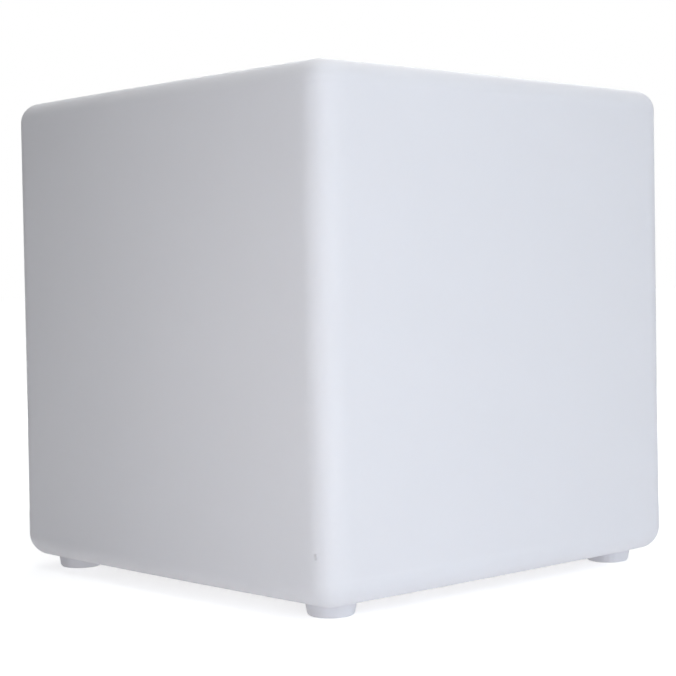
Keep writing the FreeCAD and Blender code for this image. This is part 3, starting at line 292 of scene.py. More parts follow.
def dressed(name, colour, rough, patch_mm, grain_mm, depth_mm, strength=0.4, stretch=None, **uniform):
    """A finish with a drifting colour and gloss, (low, high) each, and a fine grain of one size and depth."""
    material, tree, place = surface(name)
    if stretch:
        place = node(tree, "Mapping", Vector=place, Scale=stretch).outputs["Vector"]
    grain = node(tree, "TexNoise", Vector=place, Scale=1000 / grain_mm, Detail=2.0, Roughness=0.55)
    return shown(
        material,
        Base_Color=drifting(tree, place, colour, patch_mm),
        Roughness=drifting(tree, place, rough, patch_mm * 0.7, 3.0),
        Normal=node(tree, "Bump", Strength=strength, Distance=depth_mm * MM, Height=grain),
        **uniform,
    )


def rotomoulded_polyethylene(code):
    """White rotationally moulded polyethylene: satin, softly translucent and faintly wavy."""
    material, tree, place = surface("rotomoulded_polyethylene")
    # Resin cools unevenly, so the tone drifts very slightly over a hand's breadth.
    drift = node(tree, "TexNoise", Vector=place, Scale=1 / 0.09, Detail=2.0, Roughness=0.4)
    darker, tone = shades(code, 0.985)
    # The blasted grain is 0.9 mm across and finer within. The gloss varies with it and with a wiped look.
    grain = node(tree, "TexNoise", Vector=place, Scale=1 / 0.0009, Detail=3.0, Roughness=0.6)
    wiped = node(tree, "TexNoise", Vector=place, Scale=1 / 0.05, Detail=3.0, Roughness=0.55)
    both = node(tree, "Math", {"operation": "ADD"}, i0=grain, i1=wiped)
    # Bumps, heights in metres: a wave of the cooled wall, and the grain on it.
    wave = node(tree, "TexNoise", Vector=place, Scale=1 / 0.035, Detail=1.0, Roughness=0.3)
    broad = node(tree, "Bump", Strength=0.25, Distance=0.0006, Height=wave)
    return shown(
        material,
        Base_Color=node(tree, "Mix", COLOURS, i0=drift, i6=darker, i7=tone),
        Roughness=node(tree, "MapRange", Value=both, From_Min=0.6, From_Max=1.4, To_Min=0.44, To_Max=0.58),
        Normal=node(tree, "Bump", Strength=0.22, Distance=0.00012, Height=grain, Normal=broad),
        IOR=1.51,
        Specular_IOR_Level=0.32,
        Subsurface_Weight=0.22,
        Subsurface_Radius=(0.9, 0.95, 1.0),
        Subsurface_Scale=0.006,
    )


def moulded_plastic(name, code, rough, grain_mm=0.5, depth_mm=0.02, ior=1.53):
    """Injection-moulded plastic: an even colour, a spark-eroded grain and a gloss that drifts a little."""
    return dressed(name, shades(code, 0.94), (rough - 0.06, rough + 0.06), 18.0, grain_mm, depth_mm, IOR=ior)


def moulded_silicone(name, code, dusty=0.12):
    """Moulded silicone rubber: dull and soft, with pale dust in patches and a fine, low grain."""
    tone = linear(code)
    bloom = (*[c + dusty * (0.5 - c) for c in tone[:3]], 1.0)
    sheen = {"Sheen_Weight": 0.12, "Sheen_Roughness": 0.5}
    return dressed(name, (tone, bloom), (0.52, 0.72), 2.5, 0.25, 0.012, IOR=1.41, **sheen)


def worked_metal(name, code, rough, stretch=(1.0, 1.0, 1.0), grain_mm=0.3):
    """Metal as it leaves the tool: bright, its lines longest along the axis that stretch makes smallest."""
    ends = (rough * 0.75, rough * 1.3)
    return dressed(name, shades(code, 0.86), ends, 3.0, grain_mm, 0.004, 0.5, stretch, Metallic=1.0)


def frosted_plastic(name, code, rough, clearness):
    """Clear plastic from a blasted tool: light passes, more softly the rougher it is."""
    ends, clear = (rough * 0.85, rough * 1.15), {"IOR": 1.585, "Transmission_Weight": clearness}
    return dressed(name, shades(code, 0.95), ends, 15.0, 0.6, 0.02, 0.3, **clear)


def shrunk_film(name, code):
    """Heat-shrunk film: glossy and thin, with low creases that run round the pack."""
    # The creases are 3 mm apart along the pack and ten times as long across it.
    creased, gloss = (1.0, 0.1, 0.1), {"IOR": 1.54, "Coat_Weight": 0.3, "Coat_Roughness": 0.15}
    return dressed(name, shades(code, 0.85), (0.2, 0.34), 6.0, 3.0, 0.15, 0.5, creased, **gloss)


def masked_board(name, code, track_code, pitch_mm):
    """Laminate under solder mask, paler and a little raised where copper tracks run beneath."""
    material, tree, place = surface(name)
    # Tracks: the joints of a pattern of long narrow bricks, 0.2 mm wide, which run one way in some patches
    # and the other way in the rest. Vias: tinned dots, 0.5 mm across.
    scale = 1000 / pitch_mm
    pattern = {"offset": 0.37, "squash": 1.7, "squash_frequency": 3}
    bricks = {"Mortar_Size": 0.1 / pitch_mm, "Mortar_Smooth": 0.1, "Brick_Width": 3.1, "Row_Height": 0.34}
    other_way = node(tree, "Mapping", Vector=place, Rotation=(0.0, 0.0, math.pi / 2))
    runs = [node(tree, "TexBrick", pattern, Vector=way, Scale=scale, **bricks) for way in (place, other_way)]
    patches = node(tree, "TexNoise", Vector=place, Scale=scale / 4, Detail=0.0)
    which = node(tree, "Math", {"operation": "GREATER_THAN"}, i0=patches, i1=0.5)
    first, second = (run.outputs["Fac"] for run in runs)
    track = node(tree, "Mix", {"data_type": "FLOAT"}, i0=which, i2=first, i3=second)
    flat = {"feature": "F1", "voronoi_dimensions": "2D"}
    dots = node(tree, "TexVoronoi", flat, Vector=place, Scale=scale, Randomness=0.9)
    via = node(tree, "Math", {"operation": "LESS_THAN"}, i0=dots, i1=0.25 / pitch_mm)
    mask = drifting(tree, place, shades(code, 0.9), 12.0)
    mixed = node(tree, "Mix", COLOURS, i0=track, i6=mask, i7=linear(track_code))
    return shown(
        material,
        Base_Color=node(tree, "Mix", COLOURS, i0=via, i6=mixed, i7=linear("#B9BAB4")),
        Metallic=via,
        Roughness=drifting(tree, place, (0.28, 0.42), 6.0),
        Normal=node(tree, "Bump", Strength=0.6, Distance=0.04 * MM, Height=track),
        IOR=1.52,
        Coat_Weight=0.4,
        Coat_Roughness=0.18,
    )


def two_coloured(material, place, share, colours, patch_mm, grain_mm, **inputs):
    """Ends a material whose colour goes from one drifting shade to another by a share, with a low grain."""
    tree = material.node_tree
    first, second = (drifting(tree, place, ends, patch_mm) for ends in colours)
    grain = node(tree, "TexNoise", Vector=place, Scale=1000 / grain_mm, Detail=2.0)
    colour = node(tree, "Mix", COLOURS, i0=share, i6=first, i7=second)
    bump = node(tree, "Bump", Strength=0.3, Distance=0.01 * MM, Height=grain)
    return shown(material, Base_Color=colour, Normal=bump, **inputs)


def banded(name, base_code, band_code, low_mm, high_mm, metallic, rough):
    """Two finishes in one piece, parted by height: the band between two levels, and the rest.

    metallic is (rest, band). The step between them is 0.02 mm high.
    """
    material, tree, place = surface(name)
    height = node(tree, "SeparateXYZ", Vector=place).outputs["Z"]
    above, below = (
        node(tree, "MapRange", Value=height, From_Min=(level - rise) * MM, From_Max=(level + rise) * MM)
        for level, rise in ((low_mm, 0.01), (high_mm, -0.01))
    )
    band = node(tree, "Math", {"operation": "MULTIPLY"}, i0=above, i1=below)
    metal = node(tree, "MapRange", Value=band, To_Min=metallic[0], To_Max=metallic[1])
    gloss = drifting(tree, place, rough, 1.5, 3.0)
    colours = shades(base_code, 0.88), shades(band_code, 0.88)
    return two_coloured(material, place, band, colours, 2.0, 0.3, Metallic=metal, Roughness=gloss)


def twin_insulation(first_code, second_code):
    """Drawn vinyl insulation on a twin lead: one wire of each colour, softly glossy, with a faint grain."""
    material, tree, place = surface("twin_vinyl_insulation")
    wire = node(tree, "Attribute", {"attribute_name": "wire"}).outputs["Fac"]
    gloss = drifting(tree, place, (0.32, 0.48), 3.0)
    colours = shades(first_code, 0.85), shades(second_code, 0.85)
    return two_coloured(material, place, wire, colours, 4.0, 0.4, Roughness=gloss, IOR=1.52)


# ---- the shell ----
class ShellSizes(bpy.types.PropertyGroup):
    """Sizes and colour of the moulded shell."""

    upper_corner: FloatProperty(
        name="Upper corner",
        description="How far along a face the upright edges' round reaches, above the parting line",
        default=0.0245,
        unit="LENGTH",
    )
    lower_corner: FloatProperty(
        name="Lower corner", description="The same, below the parting line", default=0.0228, unit="LENGTH"
    )
    crown: FloatProperty(name="Crown", description="How far a side bows out", default=0.0024, unit="LENGTH")
    top_edge: FloatProperty(name="Top edge", description="Radius of its round", default=0.017, unit="LENGTH")
    bottom_edge: FloatProperty(name="Bottom edge", description="Its radius", default=0.0195, unit="LENGTH")
    wall: FloatProperty(name="Wall", description="Thickness of the moulding", default=0.004, unit="LENGTH")
    parting: FloatProperty(name="Parting line", description="Its height", default=0.0488, unit="LENGTH")
    colour: StringProperty(name="Colour", description="Polyethylene's colour, as sRGB hex", default="#EAEAF0")


SIDE_STEPS, CORNER_STEPS = 22, 20
CORNER_POWER = 2.5  # 2 is a quarter circle; a larger power starts to turn sooner and is tighter in the middle
CORNER_CUT = math.sqrt(2) * (1 - 0.5 ** (1 / CORNER_POWER))  # cut off the sharp corner, over the reach
# Millimetres, with levels over the floor.
UNDERSIDE = 10.0
WELL_GAP, LEDGE_WIDTH = 1.5, 18.0  # from the cover's edge to the well's wall, and from there to its opening
MOUTH, KNEE = 3.0, 6.0  # rounds of the well's mouth and of its wall's inner end
FADE_LOW, FADE_HIGH = 90.0, 170.0  # the stretch over which the corner tightens
STEP_HEIGHT, STEP_ROOM = 6.0, 3.2  # the step at the parting line, and how far from the line its rings keep
FOOT_RADIUS, FOOT_LEAN = 19.1, 1.75  # where it meets the underside, and how much less at the floor
FOOT_TOE, FOOT_FLARE, FOOT_GAP = 3.0, 0.6, 0.1
STUB_SEAT, STUB_LEAN = math.radians(-73), math.radians(-94)  # its place on the corner, and where it faces
STUB_SIZE, STUB_SINK = (2.4, 0.7, 2.6), 0.25


def corner_curve(angles):
    """The upright corner for a reach of 1, a point for each outward angle: |x|^power + |y|^power = 1."""
    outwards = direction(angles)
    point = np.sign(outwards) * np.abs(outwards) ** (1 / (CORNER_POWER - 1))
    return point / (np.abs(point) ** CORNER_POWER).sum(axis=-1, keepdims=True) ** (1 / CORNER_POWER)


def inset(reach, distance):
    """A corner's reach once the outline has moved inwards, and the corner's middle by the same distance."""
    return np.maximum(reach - distance * (math.sqrt(2) - 1) / CORNER_CUT, 1.0)


def square_path(side_turn):
    """The parts of a square's outline: middles * (half - crown - reach) + corners * reach + bows * crown.

    middles are the corners' signs, eased along the sides, so that points crowd near the corners; corners is
    the corner's curve, which begins and ends where the bowed sides have turned by side_turn, in degrees; bows
    point outwards, 4 t (1 - t) along a side. The outline runs anticlockwise.
    """
    middles, corners, bows = [], [], []
    share = eased(0.0, 1.0, SIDE_STEPS)[1:-1, None]
    for quarter, sign in enumerate(SIGNS):
        angles = np.radians(90 * quarter + np.linspace(side_turn, 90 - side_turn, CORNER_STEPS + 1))
        curve = corner_curve(angles)
        last, first = curve[-1:], corner_curve(angles[-1:] + math.radians(2 * side_turn))
        outwards = direction(math.radians(90 * (quarter + 1)))
        middles += [np.tile(sign, (len(curve), 1)), sign + (SIGNS[(quarter + 1) % 4] - sign) * share]
        corners += [curve, last + (first - last) * share]
        bows += [np.zeros_like(curve), 4 * share * (1 - share) * outwards]
    return np.vstack(middles), np.vstack(corners), np.vstack(bows)


def foot(x, y, wall):
    """A foot, a profile turned about its axis: rounded toe, leaning side, small flare, closed in the wall."""
    lean = math.atan2(FOOT_LEAN, UNDERSIDE)
    s, c = math.sin(lean), math.cos(lean)
    reach = FOOT_RADIUS * c - UNDERSIDE * s
    toe = (reach - FOOT_TOE + FOOT_TOE * s) / c
    flare = (reach + FOOT_FLARE + (UNDERSIDE - FOOT_FLARE) * s) / c
    down = np.radians(np.linspace(-90, -math.degrees(lean), 9))
    out = np.radians(np.linspace(180 - math.degrees(lean), 90, 6))
    sole = toe * np.linspace(0.15, 1.0, 6)[:-1]
    radii = [*sole, *(toe + FOOT_TOE * np.cos(down)), *(flare + FOOT_FLARE * np.cos(out)), flare, flare * 0.5]
    levels = [*(sole * 0), *(FOOT_TOE + FOOT_TOE * np.sin(down))]
    levels += [*(UNDERSIDE - FOOT_FLARE + FOOT_FLARE * np.sin(out)), *[UNDERSIDE + wall / 2] * 2]
    return closed_strip(turned(radii[::-1], levels[::-1], x, y, 96))


class ShapeShell(bpy.types.Operator):
    """Builds the moulded shell with its well, and its four feet"""

    bl_idname = "lightcube.shape_shell"
    bl_label = "Moulded shell"

    def execute(self, context):
        sizes = context.scene.light_cube_shell
        wall, crown, parting = sizes.wall / MM, sizes.crown / MM, sizes.parting / MM
        upper, lower = sizes.upper_corner / MM, sizes.lower_corner / MM
        top_round, base_round = sizes.top_edge / MM, sizes.bottom_edge / MM
        low, high = box_mm("cube_shell")
        half, top = (high[0] - low[0]) / 2, high[2]
        top_half, base_half, waist = half - top_round, half - base_round, (upper + lower) / 2
        shoulder, hem = top - top_round, UNDERSIDE + base_round
        low, high = box_mm("cover_plate")
        ledge = box_mm("cover_gasket")[1][2]
        well = (high[0] - low[0]) / 2 + WELL_GAP
        opening, outer = well - LEDGE_WIDTH, well + wall
        rings = []  # half width, corner's reach, level, share of circle, circle's radius

        def square(half_widths, reaches, levels, share=0.0, radius=1.0):
            rings.extend(np.broadcast(half_widths, reaches, levels, share, radius))

        def circle(radii, levels):
            square(half, lower, levels, 1.0, radii)

        # Outside: the top, its edge and the sides. The corner tightens over a stretch above the parting line,
        # and steps in by the rest at the line itself.
        share = eased(0.0, 1.0, 26)[2:-1]
        square(top_half * share, inset(upper, top_round) * share, top)
        s, c = quarter_turn(14)
        square(top_half + top_round * s, inset(upper, top_round * (1 - s)), shoulder + top_round * c)
        levels = eased(shoulder, parting + STEP_ROOM, 36)[1:]
        fade = smooth((levels - FADE_LOW) / (FADE_HIGH - FADE_LOW))
        square(half, waist + (upper - waist) * fade, levels)
        step = np.linspace(0.9, 0.1, 5)
        square(half, lower + (waist - lower) * smooth(step), parting + STEP_HEIGHT * (step - 0.5))
        square(half, lower, eased(parting - STEP_ROOM, hem, 6)[:-1])
        # The bottom edge, the underside, and the well up to its ledge and through its opening.
        square(base_half + base_round * c, inset(lower, base_round * (1 - c)), hem - base_round * s)
        share = eased(0.0, 1.0, 20)[1:-1]
        square(base_half, inset(lower, base_round), UNDERSIDE, share, well + MOUTH)
        s, c = quarter_turn(7)
        circle(well + MOUTH * (1 - s), UNDERSIDE + MOUTH * (1 - c))
        circle(well, eased(UNDERSIDE + MOUTH, ledge, 4)[1:])
        circle(eased(well, opening, 5)[1:], ledge)
        circle(opening, [ledge + wall / 2, ledge + wall])
        # Inside: down round the well, over the floor, up the sides and under the top.
        circle(eased(opening, outer - KNEE, 5)[1:], ledge + wall)
        s, c = quarter_turn(8)
        circle(outer - KNEE * (1 - s), ledge + wall - KNEE * (1 - c))
        circle(outer, eased(ledge + wall - KNEE, UNDERSIDE + wall, 3)[1:])
        share = eased(1.0, 0.0, 12)[1:-1]
        square(base_half, inset(upper, base_round), UNDERSIDE + wall, share, outer)
        inner = base_round - wall
        square(base_half + inner * s, inset(upper, base_round - inner * s), hem - inner * c)
        square(half - wall, inset(upper, wall), eased(hem, shoulder, 6)[1:])
        inner = top_round - wall
        square(top_half + inner * c, inset(upper, top_round - inner * c), shoulder + inner * s)
        share = eased(1.0, 0.0, 8)[1:-1]
        square(top_half * share, inset(upper, top_round) * share, top - wall)

        h, r, z, t, radius = np.array(rings).T[:, :, None, None]
        middles, corners, bows = square_path(math.degrees(2 * crown / (half - upper)))
        columns = len(middles)
        angle = np.radians(45) + 2 * np.pi * (np.arange(columns) - CORNER_STEPS / 2) / columns
        bow = crown * np.minimum(h / top_half, 1.0)
        outline = middles * (h - bow - r) + corners * r + bows * bow
        parts = [closed_strip(lifted((1 - t) * outline + t * radius * direction(angle), z))]
        centre = base_half - FOOT_GAP - FOOT_FLARE - FOOT_RADIUS
        parts += [foot(centre * x, centre * y, wall) for x, y in -SIGNS]
        # The trimmed stub of flash where the parting line crosses the near upright edge, a low rounded lump:
        # point = middle - along * tangent + outwards * normal + upwards, so that its faces point outwards.
        polar = np.radians(np.linspace(12, 168, 11))
        lump, faces = closed_strip(turned(np.sin(polar), np.cos(polar), columns=24))
        corner = (waist + lower) / 2
        middle = np.array([half - crown - corner, corner + crown - half, parting])
        middle[:2] += (corner - STUB_SINK) * corner_curve(STUB_SEAT)
        s, c = math.sin(STUB_LEAN), math.cos(STUB_LEAN)
        parts.append((lump * STUB_SIZE @ [[s, -c, 0], [c, s, 0], [0, 0, 1]] + middle, faces))
        finish = rotomoulded_polyethylene(sizes.colour)
        piece("shell_moulding", joined(parts), finish, ["cube_shell"], 40.0)
        return {"FINISHED"}


# ---- finishes on the nodes that keep their CAD shape ----
class TrimColours(bpy.types.PropertyGroup):
    """Colours of the light unit's plastics, rubber, film and leads, as sRGB hex."""

    cover: StringProperty(name="Cover", description="Colour of the cover plate", default="#D9DBDD")
    switch: StringProperty(name="Switch", description="Colour of its barrel and nut", default="#1B1C1E")
    button: StringProperty(name="Button", description="Colour of the push button", default="#2A2C30")
    rubber: StringProperty(name="Rubber", description="Colour of the cap and the seals", default="#3A3C40")
    film: StringProperty(name="Film", description="Colour of the battery's sleeve", default="#1F4E9B")
    live: StringProperty(name="Live wire", description="Colour of each lead's first wire", default="#B3201C")
    neutral: StringProperty(name="Return wire", description="Colour of its second wire", default="#17181A")


class FinishNodes(bpy.types.Operator):
    """Gives every node that keeps its shape the finish of its real material"""

    bl_idname = "lightcube.finish_nodes"
    bl_label = "Finishes of the kept pieces"

    def execute(self, context):
        colours = context.scene.light_cube_trim
        black = moulded_plastic("moulded_nylon_black", colours.switch, 0.4, 0.3, 0.015)
        upright, flat = (6.0, 6.0, 1.0), (1.0, 1.0, 4.0)
        finishes = {
            # The unit's mouldings: spark-eroded outside, the same resin inside.
            "cover_plate": moulded_plastic("moulded_abs_cover", colours.cover, 0.42),
            "lamp_platform": moulded_plastic("moulded_abs_white", "#E6E7E8", 0.38),
            "battery_clamp": moulded_plastic("moulded_abs_clamp", "#C7C9CC", 0.45),
            "button_body": black,
            "button_nut": black,
            "power_button": moulded_plastic("polished_abs_button", colours.button, 0.2, 0.8, 0.006),
            "cover_gasket": moulded_silicone("cut_silicone_sheet", "#55575B", 0.2),
            "button_seal": moulded_silicone("moulded_silicone_grey", colours.rubber),
            "dome_seal": moulded_silicone("moulded_silicone_white", "#CFCFCB", 0.0),
            "charging_socket": moulded_plastic("moulded_pbt_black", "#202123", 0.36, 0.3, 0.01),
            "socket_pin": worked_metal("nickel_plated_brass", "#C9C6BC", 0.24, flat),
            "button_tags": worked_metal("tinned_brass_tags", "#C4C4BE", 0.34, upright),
            "socket_tags": worked_metal("tinned_brass_socket_tags", "#C4C4BE", 0.34, upright),
            "socket_nut": worked_metal("nickel_plated_steel_nut", "#BFBDB6", 0.28, (1.0, 1.0, 5.0)),
            "charge_light_pipe": frosted_plastic("diffusing_clear_acrylic", "#F2F6F8", 0.3, 0.6),
            "lens_dome": frosted_plastic("blasted_polycarbonate", "#F4F5F5", 0.5, 0.75),
            "battery_cells": worked_metal("nickel_plated_steel_can", "#B9BABA", 0.3, (1.0, 5.0, 5.0)),
            "battery_wrap": shrunk_film("shrunk_vinyl_film", colours.film),
            "battery_guard_board": masked_board("masked_guard_laminate", "#1C5A34", "#3B8A55", 2.2),
            "control_board": masked_board("masked_control_laminate", "#14502C", "#2F7F4A", 3.2),
            "lamp_board": masked_board("white_masked_aluminium_board", "#E6E7E4", "#EFEFEC", 6.0),
            "charge_lamp": moulded_plastic("moulded_lamp_package_small", "#EDE9DC", 0.4, 0.2, 0.01),
            "signal_receiver": moulded_plastic("moulded_epoxy_black", "#232427", 0.5, 0.2, 0.01, 1.56),
        }
        for name, finish in finishes.items():
            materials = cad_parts[name].data.materials
            materials.clear()
            materials.append(finish)
        return {"FINISHED"}


# ---- screws and inserts ----
class FixingSizes(bpy.types.PropertyGroup):
    """Threads of the screws."""

    machine_pitch: FloatProperty(
        name="Cover screw pitch", description="Of the 4 mm screws", default=0.0007, unit="LENGTH", precision=5
    )
    plastic_pitch: FloatProperty(
        name="Small screw pitch", description="Of the 3 mm screws", default=0.0013, unit="LENGTH", precision=5
    )
    thread_depth: FloatProperty(
        name="Thread depth", description="From crest to root", default=0.0004, unit="LENGTH", precision=5
    )


# Radius and height of the head, and radius of the shank, in millimetres.
COVER_HEAD, COVER_HEAD_HEIGHT, COVER_SHANK = 4.0, 2.6, 2.0
SMALL_HEAD, SMALL_HEAD_HEIGHT, SMALL_SHANK = 2.75, 2.0, 1.5
THREAD_GAP = 0.04
SCREW_COLUMNS, INSERT_COLUMNS = 48, 96


def ridge(angle, level, pitch, narrow):
    """A thread's height, 0 to 1: one peak in each pitch, which climbs one pitch in one turn."""
    turns = (level / pitch - angle / (2 * np.pi)) % 1.0
    return np.clip(1.0 - narrow * np.abs(2 * turns - 1), 0.0, 1.0)


def screw_form(head_radius, head_height, radius, length, pitch, depth, narrow):
    """A pan-head screw, its head up and its seat at level 0.

    Head: level = height less a crown that falls as radius squared, less a cross of two slots whose floor
    rises outwards. Shank: radius = its own less the thread's depth times (1 - ridge), tapered at its end.
    """
    angle = round_axis(SCREW_COLUMNS)
    ones = np.ones_like(angle)
    share = np.concatenate([np.linspace(0.05, 0.66, 15), [0.76, 0.86, 0.94]])[:, None]
    from_slot = np.abs(direction(angle)).min(axis=1) * share * head_radius
    slot = smooth((0.145 * head_radius - from_slot) / 0.12 + 0.5) * smooth((0.6 - share) / 0.06)
    top_level = head_height * (1 - 0.4 * share**2 - slot * 0.62 * (1 - 0.55 * share))
    side_radius = head_radius * np.array([[0.985], [1.0], [1.0], [0.985]])
    side_level = head_height * np.array([[0.61], [0.56], [0.06], [0.0]])
    down = np.linspace(-0.05, -length, int(length / pitch * 10))[:, None]
    taper = smooth((down + length) / pitch)
    shank = radius - depth * (1 - ridge(angle, down, pitch, narrow) * taper) - 0.25 * depth * (1 - taper)
    radii = np.vstack([share * head_radius * ones, side_radius * ones, shank])
    levels = np.vstack([top_level, side_level * ones, down * ones])
    return closed_strip(turned(radii, levels, columns=SCREW_COLUMNS))


class ShapeScrews(bpy.types.Operator):
    """Builds the threaded screws of the cover, the light unit, the battery clamp and both boards"""

    bl_idname = "lightcube.shape_screws"
    bl_label = "Screws"

    def execute(self, context):
        sizes = context.scene.light_cube_fixings
        depth = sizes.thread_depth / MM
        # Cold-headed stainless steel: bright, faintly lined round the head.
        steel = worked_metal("headed_stainless_steel", "#B8BBBE", 0.27, (1.0, 1.0, 3.0))
        zinc = worked_metal("zinc_plated_steel", "#AEB4BC", 0.33, (1.0, 1.0, 3.0))
        low, high = box_mm("cover_screws")
        length, pitch = high[2] - low[2] - COVER_HEAD_HEIGHT, sizes.machine_pitch / MM
        form = screw_form(COVER_HEAD, COVER_HEAD_HEIGHT, COVER_SHANK, length, pitch, depth, 1.0)
        screws = spread(form, on_circle(high[0] - COVER_HEAD, 6), low[2] + COVER_HEAD_HEIGHT, -1)
        piece("cover_screws_threaded", screws, steel, ["cover_screws"])
        for name in ("unit_screws", "lamp_board_screws", "clamp_screws", "board_screws"):
            low, high = box_mm(name)
            (x_low, y_low), (x_high, y_high) = low[:2] + SMALL_HEAD, high[:2] - SMALL_HEAD
            places = {
                "unit_screws": on_circle(x_high * math.sqrt(2), 4, 45.0),
                "lamp_board_screws": on_circle(-y_low, 3, 30.0),
                "clamp_screws": [(0.0, y_low, 20.0), (0.0, y_high, 65.0)],
                "board_screws": [(x, y, 13.0 * x + y) for x in (x_low, x_high) for y in (y_low, y_high)],
            }[name]
            length, pitch = high[2] - low[2] - SMALL_HEAD_HEIGHT, sizes.plastic_pitch / MM
            form = screw_form(SMALL_HEAD, SMALL_HEAD_HEIGHT, SMALL_SHANK, length, pitch, depth, 2.0)
            screws = spread(form, places, high[2] - SMALL_HEAD_HEIGHT)
            piece(name + "_threaded", screws, zinc, [name])
        return {"FINISHED"}


class ShapeInserts(bpy.types.Operator):
    """Builds the knurled brass inserts that the cover's screws turn into"""

    bl_idname = "lightcube.shape_inserts"
    bl_label = "Inserts"

    def execute(self, context):
        sizes = context.scene.light_cube_fixings
        low, high = box_mm("threaded_inserts")
        radius, length = 3.0, high[2] - low[2]
        angle = round_axis(INSERT_COLUMNS)
        ones = np.ones((1, INSERT_COLUMNS))
        # Outside, from the top: two bands of 24 upright teeth, 0.3 mm deep, with a plain groove between them.
        down = [0, 0.03, 0.06, 0.12, 0.4, 0.44, 0.46, 0.54, 0.56, 0.6, 0.9, 0.96, 1]
        band = [0, 0.3, 1, 1, 1, 1, 0, 0, 1, 1, 1, 0.4, 0]
        down, band = length * np.array(down)[:, None], np.array(band)[:, None]
        teeth = radius - 0.15 + 0.15 * np.cos(24 * angle)
        outside = np.where(band > 0.5, teeth, radius - 0.45 + 0.2 * band)
        # Bore, back up: the same thread as the screw's with a gap between them, flared at both ends.
        pitch, depth = sizes.machine_pitch / MM, sizes.thread_depth / MM
        up = np.linspace(low[2] + 0.2, high[2] - 0.2, int(length / pitch * 6))[:, None]
        bore = COVER_SHANK + THREAD_GAP - depth * (1 - ridge(angle, up, pitch, 1.0))
        radii = np.vstack([outside, 2.25 * ones, bore, 2.25 * ones])
        levels = np.vstack([(high[2] - down) * ones, low[2] * ones, up * ones, high[2] * ones])
        form = looped(turned(radii, levels, columns=INSERT_COLUMNS))
        brass = worked_metal("turned_brass", "#C9A24E", 0.28, (1.0, 1.0, 5.0))
        inserts = spread(form, on_circle(high[0] - radius, 6))
        piece("knurled_inserts", inserts, brass, ["threaded_inserts"])
        return {"FINISHED"}


# ---- the button's spring ----
class ShapeSpring(bpy.types.Operator):
    """Winds the button's return spring with closed ends"""

    bl_idname = "lightcube.shape_spring"
    bl_label = "Return spring"

    def execute(self, context):
        low, high = box_mm("button_spring")
        x, y = centre_mm("button_spring")[:2]
        wire, turns, closed = 0.8, 5.5, 1.0
        radius = (high[0] - low[0] - wire) / 2
        along = np.linspace(0.0, turns, int(turns * 28) + 1)
        # Slope of the climb: one wire a turn in the closed ends, and what is left, evenly, between them.
        share = smooth((np.minimum(along, turns - along) - closed) / 0.4 + 0.5)
        share = (share[1:] + share[:-1]) / 2
        climb, flat = (np.append(0.0, np.cumsum(part * np.diff(along))) for part in (share, 1 - share))
        room = high[2] - low[2] - wire - wire * flat[-1]
        level = low[2] + wire / 2 + wire * flat + room * climb / climb[-1]
        out = np.insert(direction(2 * np.pi * along), 2, 0.0, axis=1)
        path = out * radius + np.stack([x + 0 * level, y + 0 * level, level], axis=1)
        steel = worked_metal("drawn_spring_wire", "#9FA3A8", 0.25, grain_mm=0.2)
        form = closed_strip(carried(path, out, wire / 2 * direction(round_axis(12))))
        spring = piece("return_spring_wound", form, steel, ["button_spring"], 60.0)
        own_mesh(spring)
        return {"FINISHED"}


# ---- the socket's rubber cap ----
class CapSizes(bpy.types.PropertyGroup):
    """Sizes of the socket's rubber cap."""

    edge: FloatProperty(name="Edge", description="Round of edges", default=0.0005, unit="LENGTH", precision=5)
    bend: FloatProperty(name="Bend", description="Bent length", default=0.0034, unit="LENGTH", precision=5)


STRAP = 2.5  # half the strap's width
TAB_REACH, TAB_ROUND = 3.0, 1.6
STEM_LEVEL = 1.2  # from the anchor's outer face to its stem


